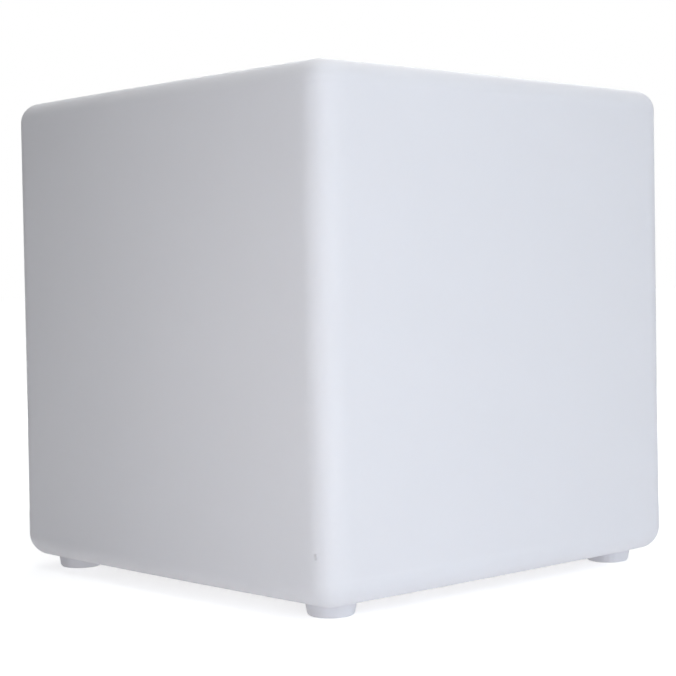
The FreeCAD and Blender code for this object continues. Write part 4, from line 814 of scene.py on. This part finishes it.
class ShapeCap(bpy.types.Operator):
    """Builds the rubber cap with its tab, strap and anchor in one, bending where the strap turns"""

    bl_idname = "lightcube.shape_cap"
    bl_label = "Socket cap"

    def execute(self, context):
        sizes = context.scene.light_cube_cap
        edge = sizes.edge / MM
        low, high = box_mm("socket_cap")
        anchor_low, anchor_high = box_mm("cap_anchor")
        disc, pad = (high[0] - low[0]) / 2, (anchor_high[0] - anchor_low[0]) / 2
        x, y, pad_y = (low[0] + high[0]) / 2, low[1] + TAB_REACH + disc, anchor_high[1] - pad
        face, underside, hinge = low[2], anchor_low[2] + STEM_LEVEL - 0.05, high[1] - 0.6

        # Slices across the cap, from the tab's end to the anchor's: half width, and the outer face's level.
        joins, pad_joins = math.sqrt(disc**2 - STRAP**2), math.sqrt(pad**2 - STRAP**2)
        s, c = quarter_turn(12)
        slices = [
            low[1] + TAB_REACH * (1 - np.cos(np.radians([8, 25, 45, 65, 90]))) * 0.5,
            np.linspace(low[1] + 1.7, y - joins, 9)[:-1],
            y - joins * c,
            y + joins * s[1:],
            np.linspace(y + joins, pad_y - pad_joins, 26)[1:-1],
            pad_y - pad * np.cos(np.radians(np.linspace(44, 176, 18))),
        ]
        slices = np.concatenate(slices)[:, None]
        in_disc, in_pad = (
            np.sqrt(np.clip(radius**2 - (slices - middle) ** 2, 0, None))
            for radius, middle in ((disc, y), (pad, pad_y))
        )
        from_end = np.clip((low[1] + TAB_ROUND - slices) / TAB_ROUND, 0, 1)
        tab_end = STRAP * np.sqrt(np.clip(1 - from_end**2, 0.02, 1))
        straight = np.where(slices < pad_y, np.minimum(STRAP, tab_end), 0.0)
        half = np.maximum.reduce([in_disc, in_pad, straight])
        outer_level = anchor_low[2] + (face - anchor_low[2]) * smooth((y + joins + 1.0 - slices) / 2.0)
        # The strap is waisted where it bends, by 0.2 mm on its outer face.
        outer_level = outer_level + 0.2 * smooth(1 - np.abs(slices - hinge) / 1.2)

        # Section: a rectangle with rounded corners, sideways from 1 to -1 and back, upper side first.
        side = np.linspace(1.0, -1.0, 25)[1:-1]
        s, c = quarter_turn(4)
        radius = np.minimum(np.minimum(edge, half * 0.6), (underside - outer_level) * 0.45)
        rise = underside - radius + radius * s
        upper = [half - radius + radius * c, side * (half - radius), -(half - radius + radius * c[::-1])]
        upper = np.concatenate(upper, axis=1)
        upper_z = np.concatenate([rise, underside + 0 * side * half, rise[:, ::-1]], axis=1)
        lower, lower_z = upper[:, ::-1], outer_level + (underside - upper_z[:, ::-1])
        # Outer face: a ring groove in the disc, 0.25 mm deep, and three grip valleys in the tab, 0.3 mm.
        groove = 0.25 * smooth(1 - np.abs(np.hypot(lower, slices - y) - 7.2) / 0.45)
        grips = sum(smooth(1 - np.abs(slices - (low[1] + 0.9 + 0.95 * i)) / 0.42) for i in range(3))
        inside = smooth((half - np.abs(lower) - edge) / 0.2)
        lower_z = lower_z + (lower_z < outer_level + 0.02) * inside * (groove + 0.3 * grips)
        section_x, section_z = np.hstack([upper, lower]), np.hstack([upper_z, lower_z])
        # Carried from the anchor's end towards the tab, so that its faces point outwards.
        strip = np.stack(np.broadcast_arrays(x + section_x, slices, section_z), axis=2)[::-1]

        # The plug, with a bead that grips the recess, and the anchor's stem and barbed head.
        radii = [4.6, 5.4, 5.9, 6.3, 6.65, 6.8, 6.72, 6.6, 6.7, 6.9, 6.9]
        levels = underside + np.array([0.5, 0.5, 1.55, 1.6, 1.5, 1.2, 0.95, 0.7, 0.4, 0.1, -0.15])
        plug = turned(radii, levels, x, y, 72)
        radii = [1.4, 2.0, 2.4, 3.1, 3.25, 3.2, 1.8, 1.8, 2.1]
        levels = [*(anchor_high[2] - np.array([0.0, 0.1, 0.5, 1.2, 1.33, 1.4, 1.42])), underside + 0.35]
        anchor = turned(radii, [*levels, underside - 0.15], x, pad_y, 48)
        form = joined([closed_strip(strip), closed_strip(plug), closed_strip(anchor)])
        rubber = moulded_silicone("moulded_silicone_cap", context.scene.light_cube_trim.rubber)
        replaced = ["socket_cap", "cap_anchor"]
        made = piece("rubber_cap_and_strap", form, rubber, replaced, 45.0, body=None)
        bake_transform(made)
        return {"FINISHED"}


# ---- leads ----
def drawn_line(corners):
    """Points along a smooth line, in millimetres, that a NURBS spline draws round a route's corners.

    Each corner gets one more control point on its longer side, as far from it as the shorter side is long, so
    that the bend is as wide on both sides.
    """
    control = [corners[0]]
    for corner, *ends in zip(corners[1:-1], corners[:-2], corners[2:]):
        spans = [np.linalg.norm(end - corner) for end in ends]
        reach = min(spans)
        before, after = (
            [corner + (end - corner) / span * reach] if span > 1.4 * reach else []
            for end, span in zip(ends, spans)
        )
        control += [*before, corner, *after]
    control.append(corners[-1])
    curve = bpy.data.curves.new("lead_line", "CURVE")
    curve.dimensions = "3D"
    curve.resolution_u = 10
    spline = curve.splines.new("NURBS")
    spline.points.add(len(control) - 1)
    spline.points.foreach_set("co", np.column_stack([np.array(control) * MM, np.ones(len(control))]).ravel())
    spline.order_u = 3
    spline.use_endpoint_u = True
    line = added("lead_line", curve)
    mesh = bpy.data.meshes.new_from_object(line)
    points = np.empty(len(mesh.vertices) * 3)
    mesh.vertices.foreach_get("co", points)
    bpy.data.objects.remove(line)
    bpy.data.curves.remove(curve)
    bpy.data.meshes.remove(mesh)
    return points.reshape(-1, 3) / MM


HEADER_INSET = 2.8  # from a header's edge to its middle
LAMP_HEADER_Y = 39.1
LEAD_RISE = 5.4  # above the plugs, where the leads cross the board


class ShapeLeads(bpy.types.Operator):
    """Runs the twin leads from switch, socket and battery to the board, and on to the lamp board"""

    bl_idname = "lightcube.shape_leads"
    bl_label = "Leads"

    def execute(self, context):
        colours = context.scene.light_cube_trim
        vinyl = twin_insulation(colours.live, colours.neutral)
        wire = 0.8
        # Section: two round wires side by side, joined by a web 0.5 mm thick; upper side, then lower.
        across = wire + wire * np.cos(np.linspace(0, np.pi, 9))
        across = np.concatenate([across, across[1:] - 2 * wire])
        rise = np.maximum(np.sqrt(np.clip(wire**2 - (np.abs(across) - wire) ** 2, 0, None)), 0.25)
        rise[[0, -1]] = 0.0
        section = np.stack([np.append(across, across[-2:0:-1]), np.append(rise, -rise[-2:0:-1])], axis=1)
        which = (section[:, 0] > 0).astype(np.float32)
        header_y, plug_top = box_mm("board_headers")[1][1:] - (HEADER_INSET, 0)
        tag_y, lamp_top = box_mm("button_tags")[1][1], box_mm("lamp_header")[1][2]
        over = plug_top + LEAD_RISE
        under = (plug_top + box_mm("lamp_platform")[0][2]) / 2
        for name in ("button_lead", "socket_lead", "battery_lead", "lamp_lead"):
            low, high = box_mm(name)
            x = (low[0] + high[0]) / 2
            (y_low, z_low), (y_high, z_high) = low[1:] + wire, high[1:] - wire
            up = [(y_high, over), (header_y, over), (header_y, plug_top)]
            route = {
                "button_lead": [(tag_y, z_low), (y_high, z_low), *up],
                "socket_lead": [(tag_y, z_low), (y_high, z_low), *up],
                "battery_lead": [(y_low, low[2]), (y_low, over), up[0], (y_high, plug_top)],
                "lamp_lead": [(header_y, plug_top), (header_y, under), (y_high, under), (y_high, z_high)]
                + [(LAMP_HEADER_Y, z_high), (LAMP_HEADER_Y, lamp_top)],
            }[name]
            path = drawn_line(np.array([(x, y, z) for y, z in route]))
            form = closed_strip(carried(path, (1.0, 0.0, 0.0), section))
            made = piece(name + "_twin", form, vinyl, [name], 60.0)
            wires = np.append(np.tile(which, len(path)), [0.5, 0.5]).astype(np.float32)
            made.data.attributes.new("wire", "FLOAT", "POINT").data.foreach_set("value", wires)
        return {"FINISHED"}


# ---- lamps and board parts ----
LAMP_CIRCLES = ((31.0, 12, 15.0), (15.0, 6, 0.0))  # radius, count and the first one's angle
LAMP_WIDTH = 5.0


class ShapeLamps(bpy.types.Operator):
    """Builds the lamp packages: white bodies with cone-sided windows, yellow fillings and tinned feet"""

    bl_idname = "lightcube.shape_lamps"
    bl_label = "Lamp packages"

    def execute(self, context):
        low, high = box_mm("lamps")
        base, top = low[2], high[2]
        outline = rounded_rectangle(LAMP_WIDTH, LAMP_WIDTH, 0.4)
        window = outline / np.hypot(*outline.T)[:, None]
        rings = [window * 1.7, window * 1.98, window * 2.04, outline * 0.96, outline * 0.985, outline]
        levels = top - np.array([0.5, 0.03, 0, 0, 0.05, 0.15, top - base])
        body = lifted(np.stack([*rings, outline]), levels)
        levels = top - np.array([0.06, 0.07, 0.1, 0.13, 0.15, 0.25, 0.49])
        fill = turned([0.4, 0.9, 1.4, 1.72, 1.9, 1.86, 1.7], levels, columns=32)
        middle = LAMP_WIDTH / 2 + 0.15
        feet = [rounded_block(0.35, 3.4, base, base + 0.12, 0.05, 0.03, side * middle) for side in (-1, 1)]
        places = [place for circle in LAMP_CIRCLES for place in on_circle(*circle)]
        white = moulded_plastic("moulded_lamp_package", "#F1F0EA", 0.42, 0.15, 0.008)
        yellow = moulded_silicone("phosphor_filled_silicone", "#E5C44A", 0.0)
        tin = worked_metal("tinned_lamp_contacts", "#C9CBCB", 0.3)
        piece("lamp_bodies", spread(closed_strip(body), places), white, ["lamps"])
        piece("lamp_phosphor", spread(closed_strip(fill), places), yellow)
        piece("lamp_contacts", spread(joined(feet), places), tin)
        return {"FINISHED"}


LEG_PITCH = 1.27
# Chips: x, length, width, height and legs on each side; the first two stand on the board's middle line, the
# others in the capacitors' row.
CHIPS = (
    (-40 / 3, 10.0, 6.0, 1.6, 8),
    (40 / 3, 6.0, 5.0, 1.6, 4),
    (-6.2, 6.2, 6.2, 2.3, 4),
    (-14.2, 6.2, 6.2, 2.3, 4),
    (-22.2, 6.2, 6.2, 2.3, 4),
)
CAN_COLUMNS = 48
CHOKE_TURNS = 8


class ShapeBoardParts(bpy.types.Operator):
    """Builds the control board's chips with their legs, its capacitors, choke and plug headers"""

    bl_idname = "lightcube.shape_board_parts"
    bl_label = "Board parts"

    def execute(self, context):
        board = box_mm("control_board")[1][2]
        row, middle = centre_mm("board_capacitors")[1], centre_mm("control_board")[1]
        # One leg: a flat strip that leaves the body's side, turns down and lies on the board for 0.4 mm.
        leg = [(-0.2, 0.7), (0.0, 0.7), (0.2, 0.66), (0.28, 0.5), (0.34, 0.22), (0.45, 0.1), (0.8, 0.09)]
        leg = np.insert(leg, 1, 0.0, axis=1)
        section = np.array([[0.2, -0.08], [0.2, 0.08], [-0.2, 0.08], [-0.2, -0.08]])
        bodies, places = [], []
        for i, (x, long, wide, height, count) in enumerate(CHIPS):
            y = middle if i < 2 else row
            bodies.append(rounded_block(long - 1.0, wide - 1.4, board + 0.1, board + height, 0.2, 0.15, x, y))
            offsets = LEG_PITCH * (np.arange(count) - (count - 1) / 2)
            places += [(x + o, y + side * (wide / 2 - 0.8), side * 90.0) for side in (1, -1) for o in offsets]
        resin = moulded_plastic("moulded_epoxy_chip", "#1E1F22", 0.48, 0.2, 0.012, 1.56)
        piece("chip_bodies", joined(bodies), resin, ["board_chips"])
        tin = worked_metal("tinned_copper_legs", "#C6C8C8", 0.3)
        legs = spread(closed_strip(carried(leg, (0.0, 1.0, 0.0), section)), places, board)
        piece("chip_legs", legs, tin)

        # Capacitors: a sleeved can with a crimped waist and a cross scored into its top.
        low, high = box_mm("board_capacitors")
        radius, top = (high[1] - low[1]) / 2, high[2]
        radii = [0.3, 1.0, 2.0, 2.9, 3.3, 3.45, 3.7, 3.95, 4.0, 4.0, 3.72, 3.66, 3.72, 4.0, 4.0, 3.8]
        depths = [0.2, 0.2, 0.2, 0.2, 0.18, 0.05, 0.0, 0.12, 0.4, 8.0, 8.3, 8.6, 8.9, 9.2, 9.9, 10.0]
        radii, levels = np.array(radii)[:, None], top - np.array(depths)[:, None]
        from_score = np.abs(direction(round_axis(CAN_COLUMNS))).min(axis=1) * radii
        score = 0.12 * smooth(1 - from_score / 0.25) * (radii < 3.0) * (levels > top - 0.3)
        can = closed_strip(turned(radii, levels - score, columns=CAN_COLUMNS))
        cans = spread(can, [(low[0] + radius, row, 0.0), (high[0] - radius, row, 0.0)])
        sleeved = "#C5C7C9", "#20242E", board, top - 0.3, (0.9, 0.0), (0.25, 0.42)
        sleeve = banded("sleeved_aluminium_can", *sleeved)
        piece("capacitor_cans", cans, sleeve, ["board_capacitors"])

        # Choke: a ferrite core with two rims, and the winding's turns between them.
        low, high = box_mm("board_choke")
        x, y = centre_mm("board_choke")[:2]
        height, full = high[2] - low[2], (high[0] - low[0]) / 2
        rim = height / 4
        strands = np.linspace(0, 1, CHOKE_TURNS * 6 + 1)
        wound = 3.75 + 0.12 * np.abs(np.sin(np.pi * CHOKE_TURNS * strands))
        edge = [full - 0.1, full, full, full - 0.2]
        radii = [full * 0.5, *edge[::-1], 3.7, *wound, 3.7, *edge]
        depths = [0, 0, 0.2, rim - 0.1, rim, rim, *(rim + (height - 2 * rim) * strands)]
        depths += [height - rim, height - rim, height - rim + 0.1, height - 0.2, height]
        core = closed_strip(turned(radii, high[2] - np.array(depths), x, y, 56))
        wire = "#2C2D30", "#A4582B", low[2] + rim, high[2] - rim, (0.0, 0.85), (0.3, 0.45)
        finish = banded("ferrite_wound_with_enamelled_copper", *wire)
        piece("choke_wound", core, finish, ["board_choke"])

        # Headers: a socket, the plug that stands in it, and the plug's latch.
        nylon = moulded_plastic("moulded_nylon_natural", "#E4DFCF", 0.42, 0.3, 0.012)
        low, high = box_mm("board_headers")
        y_row, y_side = high[1] - HEADER_INSET, low[1] + HEADER_INSET
        parts = [
            rounded_block(6.2, 5.6, low[2], low[2] + 3.6, 0.3, 0.15),
            rounded_block(5.2, 4.4, low[2] + 3.4, high[2], 0.25, 0.15),
            rounded_block(2.2, 0.5, low[2] + 3.4, high[2] - 0.8, 0.1, 0.08, 0.0, -2.3),
        ]
        places = [(-22.0, y_row, 0.0), (0.0, y_row, 0.0), (22.0, y_row, 0.0), (high[0] - 3.1, y_side, 0.0)]
        piece("plug_headers", spread(joined(parts), places), nylon, ["board_headers"])
        low, high = box_mm("lamp_header")
        x, y = centre_mm("lamp_header")[:2]
        parts = [
            rounded_block(6.2, 5.6, low[2], low[2] + 1.9, 0.3, 0.12, x, y),
            rounded_block(5.0, 4.6, low[2] + 1.8, high[2], 0.25, 0.12, x, y),
        ]
        piece("lamp_plug_header", joined(parts), nylon, ["lamp_header"])
        return {"FINISHED"}


# ---- stage ----
class StageSettings(bpy.types.PropertyGroup):
    """Camera, lamps and backdrop."""

    lens: FloatProperty(name="Lens", description="Focal length on a 36 mm sensor", default=89.45)
    key: FloatProperty(name="Key lamp", description="Large lamp at the right", default=10.45, subtype="POWER")
    side: FloatProperty(name="Side lamp", description="Lamp at the left", default=0.78, subtype="POWER")
    under: FloatProperty(name="Under lamp", description="Lamp below the floor", default=1.5, subtype="POWER")
    bounce: FloatProperty(name="Bounce lamp", description="Lamp just below it", default=0.85, subtype="POWER")
    top: FloatProperty(name="Top lamp", description="Lamp overhead", default=12.5, subtype="POWER")
    back: FloatProperty(name="Back lamp", description="Lamp behind the cube", default=16.0, subtype="POWER")
    sky: FloatProperty(name="Sky", description="Strength of the light from all round", default=0.02)


# Each lamp's place, the point that it faces, its size and its colour.
LAMPS = {
    "key": ((0.95, -0.19, 0.42), (0.1, -0.1, 0.2), 1.8, (0.905, 0.952, 1.0)),
    "side": ((0.25, -0.66, 0.22), (0.15, -0.2, 0.165), 0.5, (1.0, 0.975, 0.965)),
    "under": ((0.0, 0.0, -1.6), (0.0, 0.0, 0.0), 2.4, (1.0, 1.0, 1.0)),
    "bounce": ((0.0, 0.0, -0.4), (0.0, 0.0, 0.0), 1.4, (1.0, 0.92, 0.82)),
    "top": ((0.0, 0.0, 1.7), (0.0, 0.0, 0.4), 1.6, (1.0, 1.0, 0.97)),
    "back": ((-1.3, 1.5, 1.2), (0.0, 0.0, 0.2), 1.6, (1.0, 1.0, 1.0)),
}
CAMERA_PLACE = (1.06143, -0.97995, 0.24109)
# Degrees about its own axes in turn, from looking straight down: round, up to just below level, rolled.
CAMERA_TURNS = ((47.317, "Z"), (90 - 1.859, "X"), (-0.9858, "Z"))
FLOOR_REACH = 30.0
WHITE = (1.0, 1.0, 1.0, 1.0)
LARGER = {"operation": "MAXIMUM"}


def backdrop_ray(tree):
    """1 for the rays that show the backdrop white: from the camera, and by way of gloss and clear pieces."""
    path = node(tree, "LightPath").outputs
    first = node(tree, "Math", LARGER, i0=path["Is Camera Ray"], i1=path["Is Glossy Ray"])
    return node(tree, "Math", LARGER, i0=first, i1=path["Is Transmission Ray"])


def floor_finish():
    """A pale matt sweep: white to the camera where unshaded, and clear from below and to shadow rays."""
    material, tree, place = surface("painted_sweep")
    matt = node(tree, "BsdfDiffuse", Color=linear("#E4E5E7"))
    # Near the cube the lamps light the floor, so the glow starts at 0.62 and reaches white 1.6 m away.
    away = node(tree, "VectorMath", {"operation": "LENGTH"}, i0=place)
    ends = {"From_Min": 0.3, "From_Max": 1.6, "To_Min": 0.62, "To_Max": 1.0}
    rise = node(tree, "MapRange", {"interpolation_type": "SMOOTHSTEP"}, Value=away, **ends)
    glow = node(tree, "Emission", Color=WHITE, Strength=rise)
    both = node(tree, "AddShader", i0=matt, i1=glow)
    front = node(tree, "MixShader", i0=backdrop_ray(tree), i1=matt, i2=both)
    back = node(tree, "NewGeometry").outputs["Backfacing"]
    through = node(tree, "Math", LARGER, i0=back, i1=node(tree, "LightPath").outputs["Is Shadow Ray"])
    mixed = node(tree, "MixShader", i0=through, i1=front, i2=node(tree, "BsdfTransparent"))
    node(tree, "OutputMaterial", Surface=mixed)
    return material


class SetStage(bpy.types.Operator):
    """Sets the pale floor, the soft lamps and the camera"""

    bl_idname = "lightcube.set_stage"
    bl_label = "Stage, lamps and camera"

    def execute(self, context):
        scene = context.scene
        settings = scene.light_cube_stage
        # Floor: pale, one-sided, white to the camera where nothing shades it.
        mesh = bpy.data.meshes.new("floor")
        corners = [(x, y, 0) for x, y in -SIGNS * FLOOR_REACH]
        mesh.from_pydata(corners, [], [(0, 1, 2, 3)])
        mesh.materials.append(floor_finish())
        added("floor", mesh)

        world = bpy.data.worlds.new("studio")
        scene.world = world
        world.use_nodes = True
        tree = world.node_tree
        tree.nodes.clear()
        dim = node(tree, "Background", Color=WHITE, Strength=settings.sky)
        white = node(tree, "Background", Color=WHITE, Strength=1.0)
        mixed = node(tree, "MixShader", i0=backdrop_ray(tree), i1=dim, i2=white)
        node(tree, "OutputWorld", Surface=mixed)

        for name, (place, target, size, colour) in LAMPS.items():
            light = bpy.data.lights.new(name + "_lamp", "AREA")
            light.size = size
            light.energy = getattr(settings, name)
            light.color = colour
            # Sampled from the lit point alone: the floor lets only shadow rays through to the lamps below it.
            light.cycles.use_multiple_importance_sampling = False
            lamp = added(name + "_lamp", light)
            lamp.location = place
            lamp.rotation_euler = (Vector(target) - Vector(place)).to_track_quat("-Z", "Y").to_euler()
            lamp.visible_camera = False

        view = bpy.data.cameras.new("camera")
        view.sensor_width = 36.0
        view.lens = settings.lens
        view.clip_start = 0.05
        view.clip_end = 100.0
        camera = added("camera", view)
        yaw, tilt, roll = (Matrix.Rotation(math.radians(degrees), 4, axis) for degrees, axis in CAMERA_TURNS)
        camera.matrix_world = Matrix.Translation(CAMERA_PLACE) @ yaw @ tilt @ roll
        scene.camera = camera
        scene.view_settings.view_transform = "Standard"
        return {"FINISHED"}


class LightCubePanel(bpy.types.Panel):
    """Lists the steps that build the cube"""

    bl_idname = "LIGHTCUBE_PT_steps"
    bl_label = "Light Cube"
    bl_space_type = "VIEW_3D"
    bl_region_type = "UI"
    bl_category = "Light Cube"

    def draw(self, context):
        column = self.layout.column()
        for group in SETTINGS:
            settings = getattr(context.scene, group)
            for key in settings.__annotations__:
                column.prop(settings, key)
        for step in STEPS:
            column.operator(step.bl_idname)


SETTINGS = {
    "light_cube_shell": ShellSizes,
    "light_cube_trim": TrimColours,
    "light_cube_fixings": FixingSizes,
    "light_cube_cap": CapSizes,
    "light_cube_stage": StageSettings,
}
STEPS = [FinishNodes, ShapeShell, ShapeScrews, ShapeInserts, ShapeSpring, ShapeCap, ShapeLeads, ShapeLamps]
STEPS += [ShapeBoardParts, SetStage]


def register():
    """Registers the settings, steps and panel."""
    for kind in (*SETTINGS.values(), *STEPS, LightCubePanel):
        bpy.utils.register_class(kind)
    for name, settings in SETTINGS.items():
        setattr(bpy.types.Scene, name, PointerProperty(type=settings))


def unregister():
    """Removes what register added."""
    for name in SETTINGS:
        delattr(bpy.types.Scene, name)
    for kind in (LightCubePanel, *reversed(STEPS), *reversed(SETTINGS.values())):
        bpy.utils.unregister_class(kind)


def main():
    """Builds every piece and the stage."""
    register()
    for step in STEPS:
        space, action = step.bl_idname.split(".")
        getattr(getattr(bpy.ops, space), action)()


if __name__ == "__main__":
    main()
